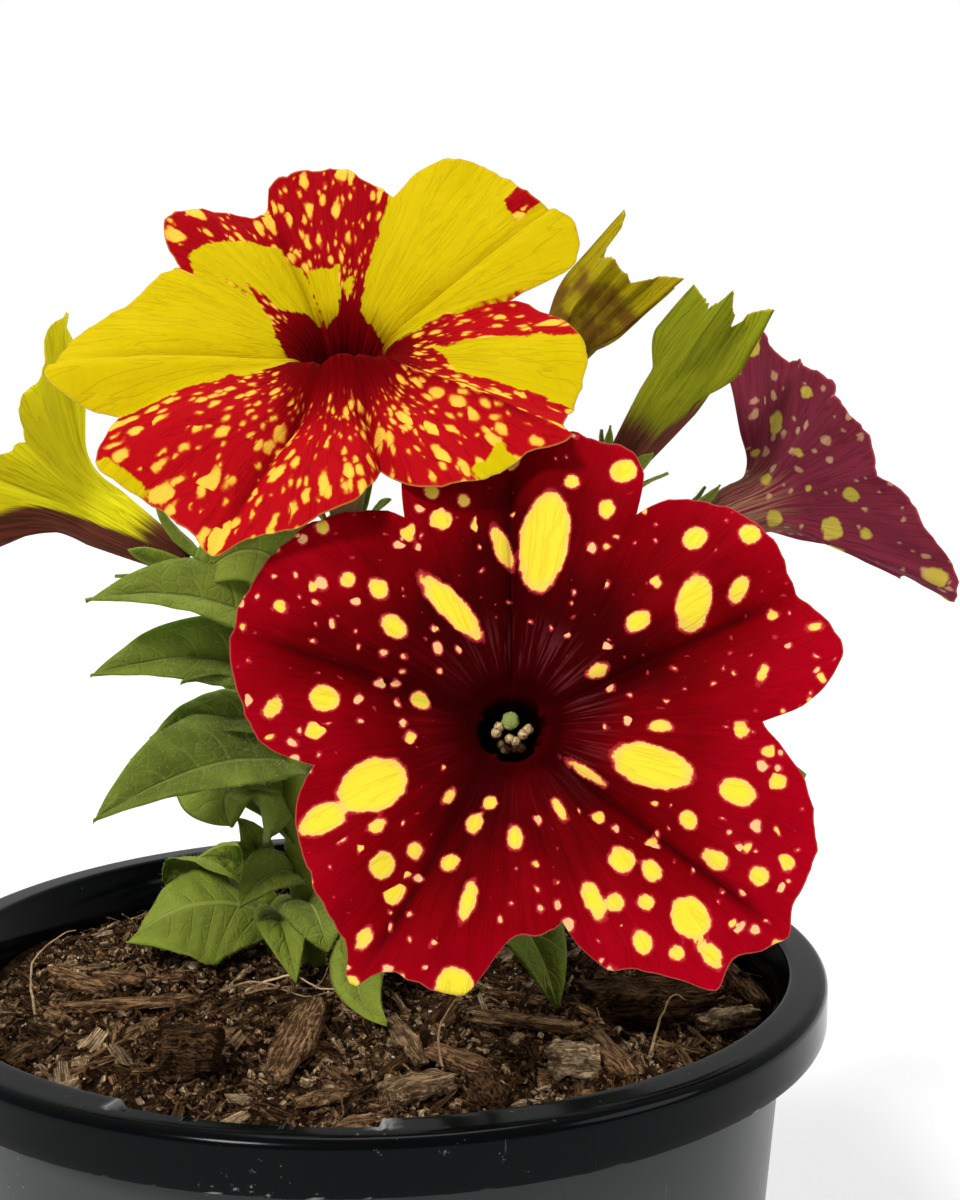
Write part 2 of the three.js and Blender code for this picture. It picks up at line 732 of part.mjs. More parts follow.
/** One sepal, rising from the rim of the calyx and leaning away from the tube. */
function sepalBlade(seat, axis, outward) {
  const side = new THREE.Vector3().crossVectors(outward, axis);
  const upper = [];
  const lower = [];
  const rows = 3;
  for (let i = 0; i <= rows; i++) {
    const t = i / rows;
    const lean = (CALYX.lean + CALYX.spread * t) * RADIANS;
    const along = CALYX.sepal * t - CALYX.sepalRoot;
    const centre = seat.clone()
      .addScaledVector(axis, along * Math.cos(lean))
      .addScaledVector(outward, CALYX.cup - BLADE + Math.max(along, 0) * Math.sin(lean));
    const half = (CALYX.sepalWidth / 2) * (0.62 + 0.5 * Math.sin(Math.PI * t * 0.9) - 0.5 * t * t);
    const normal = outward.clone().multiplyScalar(Math.cos(lean)).addScaledVector(axis, -Math.sin(lean));
    upper.push([]);
    lower.push([]);
    for (const v of [-1, 1]) {
      const point = centre.clone().addScaledVector(side, v * half);
      upper.at(-1).push(point.clone().addScaledVector(normal, BLADE));
      lower.at(-1).push(point);
    }
  }
  return blade(upper, lower);
}

// ---------------------------------------------------------------------------
// Leafy stems
// ---------------------------------------------------------------------------

/** Half width of a leaf along it, as a share of its greatest half width. */
function leafOutline(t) {
  const stalk = LEAF.petiole * (1 - ease(t / 0.25));
  const oval = Math.sin(Math.PI * Math.min(1, (0.04 + 0.96 * t) ** 0.92)) ** 0.85;
  return stalk + oval + 0.03;
}

/** A leaf from a root inside its stem to its tip: arched, folded and waved. */
function leafBlade(root, tip, leaf) {
  const bow = new THREE.Vector3(...leaf.bow);
  const middle = root.clone().add(tip).multiplyScalar(0.5).add(bow);
  const rib = new THREE.QuadraticBezierCurve3(root, middle, tip);
  const facing = new THREE.Vector3(...(leaf.face ?? [0, 0, 1])).normalize();
  const rows = LEAF.rows;
  const fold = (leaf.fold ?? LEAF.fold) * RADIANS;
  const upper = [];
  const lower = [];
  for (let i = 0; i <= rows; i++) {
    const t = i / rows;
    const centre = rib.getPoint(t);
    const along = rib.getTangent(t);
    const side = new THREE.Vector3().crossVectors(facing, along).normalize();
    const normal = new THREE.Vector3().crossVectors(along, side).normalize();
    const half = Math.max((leaf.width / 2) * leafOutline(t), 0.7 * BLADE);
    upper.push([]);
    lower.push([]);
    for (const v of [-1, 0, 1]) {
      const wave = LEAF.wave * leaf.width * Math.sin(7 * t + 2.5 * v) * Math.abs(v);
      const point = centre.clone()
        .addScaledVector(side, half * v * Math.cos(fold))
        .addScaledVector(normal, half * Math.abs(v) * Math.sin(fold) + wave * ease(4 * t));
      upper.at(-1).push(point.clone().addScaledVector(normal, BLADE / 2));
      lower.at(-1).push(point.clone().addScaledVector(normal, -BLADE / 2));
    }
  }
  return blade(upper, lower);
}

const STEMS = [
  {
    name: "main_leafy_stem",
    carries: ["top_bloom", "left_bloom"],
    path: [[-10, 8, -22], [-10, 8, -13], [-10, 8, -5], [-12, 8, 8], [-13, 5, 26], [-12, 2, 40], [-10, 1, 47]],
    radii: [2.3, 2.1, 1.8, 1.6],
    leaves: [
      { at: 0.62, tip: [-20, -1, 15], width: 19, bow: [-9, -4, 6], face: [-0.6, -0.8, 0.5], fold: 12 },
      { at: 0.7, tip: [-39, -22, 23.5], width: 13, bow: [2, 0, 7], face: [0.1, -0.5, 0.9], fold: 38 },
      { at: 0.78, tip: [-34, -6, 32.5], width: 7.5, bow: [0, 0, 5], face: [0, -0.5, 0.9], fold: 30 },
      { at: 0.86, tip: [-28, -15, 42], width: 5, bow: [-3, 2, 4], face: [0, -0.5, 0.9] },
      { at: 0.9, tip: [-41, -14, 43], width: 9, bow: [2, 0, 4], face: [0, -0.6, 0.8], fold: 30 },
      { at: 0.97, tip: [-41, -17, 54], width: 10, bow: [3, -5, 8], face: [0, -0.5, 0.9], fold: 26 },
      { at: 0.5, tip: [-42, 22, 24], width: 14, bow: [0, 0, 8] },
      { at: 0.6, tip: [-22, 38, 28], width: 15, bow: [0, 0, 8] },
      { at: 0.75, tip: [-40, 24, 44], width: 12, bow: [0, 0, 6] },
      { at: 0.92, tip: [-22, 32, 56], width: 12, bow: [0, 0, 6] },
    ],
  },
  {
    name: "low_leafy_shoot",
    carries: [],
    path: [[-17, 17, -22], [-17, 17, -13], [-17, 17, -5], [-18, 15, 2], [-19, 13, 8]],
    radii: [1.6, 1.4, 1.1],
    leaves: [
      { at: 0.66, tip: [-41, 13.5, -5], width: 21, bow: [0, -3, 10], face: [0, -0.55, 0.85], fold: -18 },
      { at: 0.74, tip: [-15.5, -3, -5.5], width: 7.5, bow: [-1, -2, 6], face: [0, -0.7, 0.7] },
      { at: 0.92, tip: [-28, 8, 11], width: 5, bow: [0, 0, 2], face: [0, -0.8, 0.5] },
      { at: 0.97, tip: [-22, 5, 14], width: 3.4, bow: [0, 0, 1], face: [0, -0.9, 0.3] },
      { at: 0.8, tip: [-38, 32, 0], width: 14, bow: [0, 0, 8] },
    ],
  },
  {
    name: "front_leafy_stem",
    carries: ["front_bloom"],
    path: [[-3, 4, -22], [-3, 4, -13], [-3, 4, -5], [2, 5, 4], [8, 7, 11], [14, 8, 15]],
    radii: [1.9, 1.8, 1.5],
    leaves: [
      { at: 0.6, tip: [-4, -6, -6], width: 10, bow: [0, -2, 5], face: [0, -0.7, 0.7] },
      { at: 0.66, tip: [3, -18, -6.5], width: 8, bow: [0, -3, 6], face: [0, -0.5, 0.9] },
      { at: 0.8, tip: [27, -15, -6], width: 10.5, bow: [3, 0, 9], face: [0.2, -0.6, 0.7], fold: 20 },
      { at: 0.9, tip: [-2, -14, 14], width: 9, bow: [0, 0, 5] },
      { at: 0.95, tip: [28, -12, 10], width: 11, bow: [0, 0, 8] },
    ],
  },
  {
    name: "right_leafy_stem",
    carries: ["right_bloom"],
    path: [[8, 12, -22], [8, 12, -13], [8, 12, -5], [17, 14, 10], [30, 14, 28], [40, 12, 44]],
    radii: [2.1, 1.9, 1.5],
    leaves: [
      { at: 0.72, tip: [68, -5, 26], width: 12, bow: [0, 0, 8] },
      { at: 0.5, tip: [52, 6, 6], width: 14, bow: [0, 0, 8] },
      { at: 0.58, tip: [46, 38, 12], width: 15, bow: [0, 0, 9] },
      { at: 0.68, tip: [28, 42, 26], width: 13, bow: [0, 0, 8] },
      { at: 0.82, tip: [70, 30, 36], width: 13, bow: [0, 0, 8] },
      { at: 0.92, tip: [38, 36, 50], width: 11, bow: [0, 0, 6] },
      { at: 0.97, tip: [66, 2, 44], width: 9, bow: [0, 0, 5] },
      { at: 0.42, tip: [34, 36, -3], width: 13, bow: [0, 0, 9] },
    ],
  },
  {
    name: "back_leafy_stem",
    carries: ["opening_bud", "fluted_bud"],
    path: [[0, 16, -22], [0, 16, -13], [0, 16, -5], [5, 17, 14], [14, 15, 36], [24, 12, 57]],
    radii: [2.0, 1.8, 1.5],
    leaves: [
      { at: 0.45, tip: [-2, 46, 8], width: 15, bow: [0, 0, 9] },
      { at: 0.6, tip: [4, 44, 34], width: 14, bow: [0, 0, 8] },
      { at: 0.7, tip: [36, -6, 40], width: 12, bow: [0, 0, 6] },
      { at: 0.78, tip: [10, -14, 50], width: 11, bow: [0, 0, 5] },
      { at: 0.84, tip: [12, 40, 58], width: 12, bow: [0, 0, 7] },
      { at: 0.93, tip: [50, -6, 57], width: 10, bow: [0, 0, 5] },
      { at: 0.97, tip: [16, 34, 74], width: 9, bow: [0, 0, 5] },
    ],
  },
];

/** A stem with its leaves, and the stalk and calyx of each bloom that it carries. */
function stemShape(stem) {
  const { geometry, curve } = taperedTube(stem.path.map(above), stem.radii, 8, 10);
  const shapes = [solid(geometry)];
  for (const bloom of [...BLOOMS, ...BUDS]) {
    if (stem.carries.includes(bloom.name)) shapes.push(...stalkSolids(bloom, curve));
  }
  for (const leaf of stem.leaves) {
    shapes.push(solid(leafBlade(curve.getPointAt(leaf.at), above(leaf.tip), leaf)));
  }
  return geometryOf(joined(shapes));
}

// ---------------------------------------------------------------------------
// The whole plant
// ---------------------------------------------------------------------------

const plant = new THREE.Group();
plant.name = "potted_petunia";

/** Adds one named piece with its own material. */
function addPiece(name, geometry, colour, roughness) {
  const material = new THREE.MeshStandardMaterial({ color: colour, roughness, metalness: 0 });
  const mesh = new THREE.Mesh(geometry, material);
  mesh.name = name;
  plant.add(mesh);
}

addPiece("pot", potShape(), "#101214", 0.25);
addPiece("potting_mix", soilShape(STEMS), "#3a2618", 0.95);
for (const stem of STEMS) addPiece(stem.name, stemShape(stem), "#4d7a2c", 0.65);
for (const bloom of [...BLOOMS, ...BUDS]) {
  addPiece(`${bloom.name}_corolla`, corollaShape(bloom), bloom.colour, 0.6);
}
for (const bloom of BLOOMS) addPiece(`${bloom.name}_stamens`, stamenShape(bloom), "#c9b26a", 0.7);

export default plant;
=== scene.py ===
# A potted petunia: the finish of its pot, soil, leaves and blooms, built round its solid model.
# Everything is in metres in the model's own frame: +Z up, the origin under the middle of the pot.
# The plant's sizes are written in millimetres, with its heights measured from the pot's rim.

import math

import bmesh
import bpy
import numpy as np
from bpy.props import FloatProperty, FloatVectorProperty, IntProperty, PointerProperty
from mathutils import Matrix, Vector, noise


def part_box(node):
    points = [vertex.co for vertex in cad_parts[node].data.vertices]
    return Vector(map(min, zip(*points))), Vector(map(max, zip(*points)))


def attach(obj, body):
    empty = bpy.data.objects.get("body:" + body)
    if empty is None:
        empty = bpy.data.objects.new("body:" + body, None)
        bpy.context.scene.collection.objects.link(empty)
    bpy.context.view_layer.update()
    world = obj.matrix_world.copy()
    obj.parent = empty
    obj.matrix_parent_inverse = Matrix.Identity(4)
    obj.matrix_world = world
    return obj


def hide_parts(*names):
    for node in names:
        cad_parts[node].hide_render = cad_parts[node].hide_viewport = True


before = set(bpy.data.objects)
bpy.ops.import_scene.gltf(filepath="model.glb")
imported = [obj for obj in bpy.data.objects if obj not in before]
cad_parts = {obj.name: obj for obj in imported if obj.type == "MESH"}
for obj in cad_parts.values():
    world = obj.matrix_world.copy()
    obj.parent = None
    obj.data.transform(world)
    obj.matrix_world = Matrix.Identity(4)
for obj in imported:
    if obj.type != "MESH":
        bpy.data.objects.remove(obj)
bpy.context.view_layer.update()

bl_info = {
    "name": "Potted petunia",
    "version": (1, 0, 0),
    "blender": (4, 5, 0),
    "location": "3D View > Sidebar > Petunia",
    "description": "Builds a potted petunia: pot, bark mix, leafy stems, spotted blooms and a studio",
    "category": "Add Mesh",
}

MM = 0.001
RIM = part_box("pot")[1].z  # height of the pot's rim
RIM_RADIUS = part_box("pot")[1].x / MM
BLADE = 0.66  # thickness of the solid model's leaves and petals
SEAT = 0.3  # the gap where one grown piece sits on another
DECIMETRE = 100 * MM


# ---------------------------------------------------------------------------
# Settings that a user would change
# ---------------------------------------------------------------------------

def colour(name, description, default):
    """A colour setting."""
    return FloatVectorProperty(
        name=name, description=description, subtype="COLOR", size=3, min=0, max=1, default=default
    )


def length(name, description, default):
    """A length setting, in metres."""
    return FloatProperty(name=name, description=description, unit="LENGTH", min=0, default=default)


def amount(name, description, default):
    """A whole number of things for each square decimetre."""
    return IntProperty(name=name, description=description, min=0, default=default)


class PotSettings(bpy.types.PropertyGroup):
    """Sizes and finish of the nursery pot"""
    rim_round: length("Rim rounding", "Rounding of the rim's outer edge", 0.0014)
    rim_drop: length("Rim drop", "How far the rolled rim hangs down", 0.0065)
    wall: length("Wall", "Thickness of the wall", 0.0012)
    slot_depth: length("Slot depth", "Depth of the label slot in the rim", 0.0012)
    plastic: colour("Plastic", "Colour of the plastic", (0.0016, 0.0022, 0.0026))
    # the wall's lighter grey is a painted reflection of the floor; its dullness is real
    wall_tone_with_painted_reflection: colour("Wall tone", "Colour of the duller wall", (0.044, 0.050, 0.047))
    scuff: colour("Scuffs", "Colour of dust and scuffs", (0.34, 0.35, 0.34))


class MixSettings(bpy.types.PropertyGroup):
    """The potting mix and the bark on it"""
    chips: amount("Chips", "Bark chips per square decimetre", 640)
    crumbs: amount("Crumbs", "Crumbs per square decimetre", 7800)
    fibres: amount("Fibres", "Fibres per square decimetre", 260)
    specks: amount("Specks", "White specks per square decimetre", 520)
    peat: colour("Peat", "Colour of the moist peat", (0.015, 0.007, 0.0025))
    bark: colour("Bark", "Colour of fresh bark", (0.52, 0.30, 0.145))


class LeafSettings(bpy.types.PropertyGroup):
    """Leaves, stems and their down"""
    thickness: length("Thickness", "Thickness of a leaf", 0.0005)
    down_length: length("Down length", "Length of the fine hairs", 0.00055)
    down: amount("Down", "Hairs per square decimetre", 11000)
    blade: colour("Blade", "Colour of a leaf's upper side", (0.20, 0.265, 0.034))
    vein: colour("Vein", "Colour of the veins", (0.31, 0.37, 0.08))
    young: colour("Young", "Colour of young leaves and stalks", (0.24, 0.30, 0.030))


class BloomSettings(bpy.types.PropertyGroup):
    """The petals"""
    thickness: length("Thickness", "Thickness of a petal", 0.0004)
    crimson: colour("Crimson", "Colour of the crimson petals", (0.20, 0.0001, 0.0022))
    maroon: colour("Maroon", "Colour of their dark centre", (0.040, 0.0, 0.0006))
    yellow: colour("Yellow", "Colour of the yellow petals", (0.61, 0.475, 0.002))
    spot: colour("Spots", "Colour of the spots", (0.86, 0.69, 0.040))
    olive: colour("Olive", "Colour of the opening bud", (0.36, 0.29, 0.006))
    fresh: colour("Fresh", "Colour of the fluted bud", (0.215, 0.24, 0.009))
    green: colour("Green", "Colour of young yellow-green petals", (0.95, 0.87, 0.014))


class StudioSettings(bpy.types.PropertyGroup):
    """Floor, light and camera"""
    floor: colour("Floor", "Colour of the floor", (0.90, 0.90, 0.90))
    backdrop: colour("Backdrop", "Colour seen behind the floor", (1.0, 1.0, 1.0))
    daylight: FloatProperty(name="Daylight", description="Strength of the light all round", default=0.65)
    lens: FloatProperty(name="Lens", description="Focal length of the camera in millimetres", default=39.0)


# ---------------------------------------------------------------------------
# Small tools
# ---------------------------------------------------------------------------

def ease(t):
    """Eases from 0 to 1 with level ends."""
    c = np.clip(t, 0, 1)
    return c * c * (3 - 2 * c)


def bell(t):
    """A smooth bump of height 1 at 0 that fades out past 1."""
    return np.exp(-np.square(t))


def shade(colour, share):
    """A colour made darker or lighter."""
    return tuple(share * part for part in colour)


def unit(vectors):
    """Vectors of length 1 in the same directions."""
    vectors = np.asarray(vectors, float)
    return vectors / np.linalg.norm(vectors, axis=-1, keepdims=True)


def rough(places, size, seed=0.0):
    """Smooth noise from -1 to 1 at each place, its features about size across."""
    places = np.asarray(places, float)
    flat = places.reshape(-1, 3) / size + seed
    return np.array([noise.noise(Vector(place)) for place in flat]).reshape(places.shape[:-1])


def lumpy(places, *layers):
    """The sum of several noises, each given as its height, its size and its seed."""
    return sum(height * rough(places, size, seed) for height, size, seed in layers)


def shaken(places, size, seed):
    """Smooth noise from -1 to 1 along each axis at each place."""
    return np.stack([rough(places, size, seed + 17 * k) for k in range(3)], -1)


class Way:
    """A smooth line through points, with places on it measured along its length."""
    divisions = 200

    def __init__(self, points):
        points = np.asarray(points, float)
        before, after = 2 * points[0] - points[1], 2 * points[-1] - points[-2]
        self.points = np.concatenate([[before], points, [after]])
        self.times = np.linspace(0, 1, self.divisions + 1)
        steps = np.linalg.norm(np.diff(self.at_time(self.times), axis=0), axis=1)
        self.lengths = np.concatenate([[0], np.cumsum(steps)])

    def at_time(self, times):
        """Points at even times, each span between two given points taking as long as the others."""
        spans = len(self.points) - 3
        scaled = np.clip(np.atleast_1d(times), 0, 1) * spans
        index = np.minimum(scaled.astype(int), spans - 1)
        t = (scaled - index)[:, None]
        p = [self.points[index + k] for k in range(4)]
        gap = [np.linalg.norm(p[k + 1] - p[k], axis=1)[:, None] ** 0.5 for k in range(3)]
        start = (p[1] - p[0]) / gap[0] - (p[2] - p[0]) / (gap[0] + gap[1]) + (p[2] - p[1]) / gap[1]
        end = (p[2] - p[1]) / gap[1] - (p[3] - p[1]) / (gap[1] + gap[2]) + (p[3] - p[2]) / gap[2]
        start, end = start * gap[1], end * gap[1]
        square = -3 * p[1] + 3 * p[2] - 2 * start - end
        return p[1] + start * t + square * t ** 2 + (2 * p[1] - 2 * p[2] + start + end) * t ** 3

    def at(self, shares):
        """Points at shares (0 to 1) of the line's length."""
        return self.at_time(np.interp(np.atleast_1d(shares) * self.lengths[-1], self.lengths, self.times))


def rod(line, radii, sides=12):
    """Rings of a round rod along a line of points; radii holds one radius, or one for each point."""
    line = np.asarray(line, float)
    along = unit(np.gradient(line, axis=0))
    radii = np.broadcast_to(radii, len(line))
    side = np.cross(along[0], (0.3, 0.2, 1) if abs(along[0][2]) < 0.9 else (1, 0.2, 0))
    angle = np.linspace(0, 2 * math.pi, sides, endpoint=False)[:, None]
    rings = []
    for centre, ahead, radius in zip(line, along, radii):
        side = unit(side - ahead * side.dot(ahead))
        other = np.cross(ahead, side)
        rings.append(centre + radius * (np.cos(angle) * side + np.sin(angle) * other))
    return np.array(rings)


def ring_quads(count, around):
    """Faces between rings of points that close round."""
    i = np.arange(count - 1)[:, None] * around
    j = np.arange(around)[None, :]
    after = (j + 1) % around
    quads = np.stack(np.broadcast_arrays(i + j, i + after, i + around + after, i + around + j), -1)
    return quads.reshape(-1, 4)


def skin(rings):
    """Points and faces of a closed form over rings of points, each end drawn to the ring's middle."""
    rings = np.asarray(rings, float)
    count, around = rings.shape[:2]
    points = np.concatenate([rings.reshape(-1, 3), [rings[0].mean(0), rings[-1].mean(0)]])
    quads = ring_quads(count, around)
    j = np.arange(around)
    after = (j + 1) % around
    last = (count - 1) * around
    head = np.stack([np.full(around, count * around), after, j], -1)
    tail = np.stack([np.full(around, count * around + 1), last + j, last + after], -1)
    places = points - points.mean(0)
    triangles = np.concatenate([quads[:, [0, 1, 2]], quads[:, [0, 2, 3]], head, tail])
    a, b, c = (places[triangles[:, k]] for k in range(3))
    if (a * np.cross(b, c)).sum() < 0:
        quads, head, tail = quads[:, ::-1], head[:, ::-1], tail[:, ::-1]
    return points, quads.tolist() + head.tolist() + tail.tolist()


def ring_values(values, rings):
    """Values on the points of a skin, from one for each ring and place round it."""
    count, around = rings.shape[:2]
    values = np.broadcast_to(values, (count, around))
    return np.concatenate([values.ravel(), [values[0].mean(), values[-1].mean()]])


def linked(name, mesh):
    """A new object in the scene, at the origin."""
    piece = bpy.data.objects.new(name, mesh)
    bpy.context.scene.collection.objects.link(piece)
    return piece


def baked(piece):
    """The plain mesh that a piece's modifiers make of it."""
    bpy.context.view_layer.update()
    graph = bpy.context.evaluated_depsgraph_get()
    evaluated = piece.evaluated_get(graph)
    return bpy.data.meshes.new_from_object(evaluated, preserve_all_data_layers=True, depsgraph=graph)


def keep_value(mesh, name, values):
    """Stores a number on each of a mesh's points."""
    attribute = mesh.attributes.new(name, "FLOAT", "POINT")
    attribute.data.foreach_set("value", np.asarray(values, np.float32))


class Shape:
    """Collects skins, in millimetres above the rim, with their values, and makes one piece of them."""

    def __init__(self, *names):
        self.points = []
        self.faces = []
        self.values = {name: [] for name in names}
        self.count = 0

    def add(self, rings, **values):
        """Adds a skin over rings; each value holds for all of it, or for each of its points."""
        rings = np.asarray(rings, float)
        points, faces = skin(rings)
        self.points.append(points)
        self.faces += [[corner + self.count for corner in face] for face in faces]
        self.count += len(points)
        for name, kept in self.values.items():
            kept.append(ring_values(values.get(name, 0.0), rings))

    def piece(self, name, material, rise=RIM):
        """The object, at the origin, its points raised from the rim to their true height."""
        mesh = bpy.data.meshes.new(name)
        points = np.concatenate(self.points) * MM + (0, 0, rise)
        mesh.from_pydata(points.tolist(), [], self.faces)
        mesh.shade_smooth()
        mesh.materials.append(material)
        for key, kept in self.values.items():
            keep_value(mesh, key, np.concatenate(kept))
        return linked(name, mesh)


def in_place(piece, slot, *nodes):
    """Hangs a finished piece on the root and hides the solids that it stands for; slot, the finish it would
    take, is not used.
    """
    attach(piece, "root")
    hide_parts(*nodes)
    return piece


# ---------------------------------------------------------------------------
# Geometry nodes
# ---------------------------------------------------------------------------

def chance(tree, kind, low, high, seed, salt):
    """A random value for each thing, between two values or outputs."""
    ends, output = {"INT": ((4, 5), 2), "FLOAT": ((2, 3), 1), "FLOAT_VECTOR": ((0, 1), 0)}[kind]
    node = tree.nodes.new("FunctionNodeRandomValue")
    node.data_type = kind
    for socket, value in zip(ends, (low, high)):
        if isinstance(value, bpy.types.NodeSocket):
            tree.links.new(value, node.inputs[socket])
        else:
            node.inputs[socket].default_value = value
    own = tree.nodes.new("ShaderNodeMath")
    own.inputs[1].default_value = salt
    tree.links.new(seed, own.inputs[0])
    tree.links.new(own.outputs[0], node.inputs["Seed"])
    return node.outputs[output]


def strew_tree(name):
    """A node group that strews one of a collection's shapes over a surface, each with its own tone."""
    tree = bpy.data.node_groups.new(name, "GeometryNodeTree")
    sockets = (
        ("Surface", "Geometry"), ("Shapes", "Collection"), ("Kinds", "Int"), ("Per Square Metre", "Float"),
        ("Smallest", "Float"), ("Largest", "Float"), ("Tilt", "Float"), ("Seed", "Int"),
        ("Finish", "Material"),
    )
    for label, kind in sockets:
        tree.interface.new_socket(label, in_out="INPUT", socket_type="NodeSocket" + kind)
    tree.interface.new_socket("Strewn", in_out="OUTPUT", socket_type="NodeSocketGeometry")
    new, link = tree.nodes.new, tree.links.new
    given = new("NodeGroupInput").outputs
    seed = given["Seed"]

    spread = new("GeometryNodeDistributePointsOnFaces")
    link(given["Surface"], spread.inputs["Mesh"])
    link(given["Per Square Metre"], spread.inputs["Density"])
    link(seed, spread.inputs["Seed"])
    shapes = new("GeometryNodeCollectionInfo")
    link(given["Shapes"], shapes.inputs["Collection"])
    shapes.inputs["Separate Children"].default_value = True
    shapes.inputs["Reset Children"].default_value = True

    forth, back = new("ShaderNodeCombineXYZ"), new("ShaderNodeCombineXYZ")
    opposite = new("ShaderNodeMath")
    opposite.operation = "MULTIPLY"
    opposite.inputs[1].default_value = -1.0
    link(given["Tilt"], opposite.inputs[0])
    for axis in (0, 1):
        link(given["Tilt"], forth.inputs[axis])
        link(opposite.outputs[0], back.inputs[axis])
    forth.inputs[2].default_value = 2 * math.pi
    turn = new("FunctionNodeEulerToRotation")
    link(chance(tree, "FLOAT_VECTOR", back.outputs[0], forth.outputs[0], seed, 1), turn.inputs[0])
    turned = new("FunctionNodeRotateRotation")
    turned.rotation_space = "LOCAL"
    link(spread.outputs["Rotation"], turned.inputs[0])
    link(turn.outputs[0], turned.inputs[1])

    last = new("ShaderNodeMath")
    last.operation = "SUBTRACT"
    last.inputs[1].default_value = 1.0
    link(given["Kinds"], last.inputs[0])
    placed = new("GeometryNodeInstanceOnPoints")
    placed.inputs["Pick Instance"].default_value = True
    link(spread.outputs["Points"], placed.inputs["Points"])
    link(shapes.outputs[0], placed.inputs["Instance"])
    link(chance(tree, "INT", 0, last.outputs[0], seed, 2), placed.inputs["Instance Index"])
    link(turned.outputs[0], placed.inputs["Rotation"])
    link(chance(tree, "FLOAT", given["Smallest"], given["Largest"], seed, 3), placed.inputs["Scale"])
    toned = new("GeometryNodeStoreNamedAttribute")
    toned.data_type = "FLOAT"
    toned.domain = "INSTANCE"
    toned.inputs["Name"].default_value = "tone"
    link(placed.outputs[0], toned.inputs[0])
    link(chance(tree, "FLOAT", 0.0, 1.0, seed, 4), toned.inputs["Value"])
    real = new("GeometryNodeRealizeInstances")
    link(toned.outputs[0], real.inputs[0])
    finished = new("GeometryNodeSetMaterial")
    link(real.outputs[0], finished.inputs[0])
    link(given["Finish"], finished.inputs["Material"])
    link(finished.outputs[0], new("NodeGroupOutput").inputs[0])
    return tree


def strewn(name, surface, shapes, material, **inputs):
    """A plain piece with small shapes strewn over a surface, in one of the given kinds each."""
    tree = bpy.data.node_groups.get("Strew shapes") or strew_tree("Strew shapes")
    kinds = bpy.data.collections.new(name + "_kinds")
    bpy.context.scene.collection.children.link(kinds)
    for shape in shapes:
        bpy.context.scene.collection.objects.unlink(shape)
        kinds.objects.link(shape)
    base = linked(name + "_base", surface)
    modifier = base.modifiers.new("Strew", "NODES")
    modifier.node_group = tree
    inputs.update({"Shapes": kinds, "Kinds": len(shapes), "Finish": material})
    for item in tree.interface.items_tree:
        if item.in_out == "INPUT" and item.name in inputs:
            modifier[item.identifier] = inputs[item.name]
    mesh = baked(base)
    mesh.name = name
    base.modifiers.clear()
    for leftover in (base, *shapes):
        bpy.data.objects.remove(leftover)
    bpy.data.collections.remove(kinds)
    return linked(name, mesh)


# ---------------------------------------------------------------------------
# Materials
# ---------------------------------------------------------------------------

class Number:
    """A number that a node gives, with which sums are written."""

    def __init__(self, paint, socket):
        self.paint = paint
        self.socket = socket

    def __add__(self, other):
        return self.paint.sum("ADD", self, other)

    def __sub__(self, other):
        return self.paint.sum("SUBTRACT", self, other)

    def __rsub__(self, other):
        return self.paint.sum("SUBTRACT", other, self)

    def __mul__(self, other):
        return self.paint.sum("MULTIPLY", self, other)


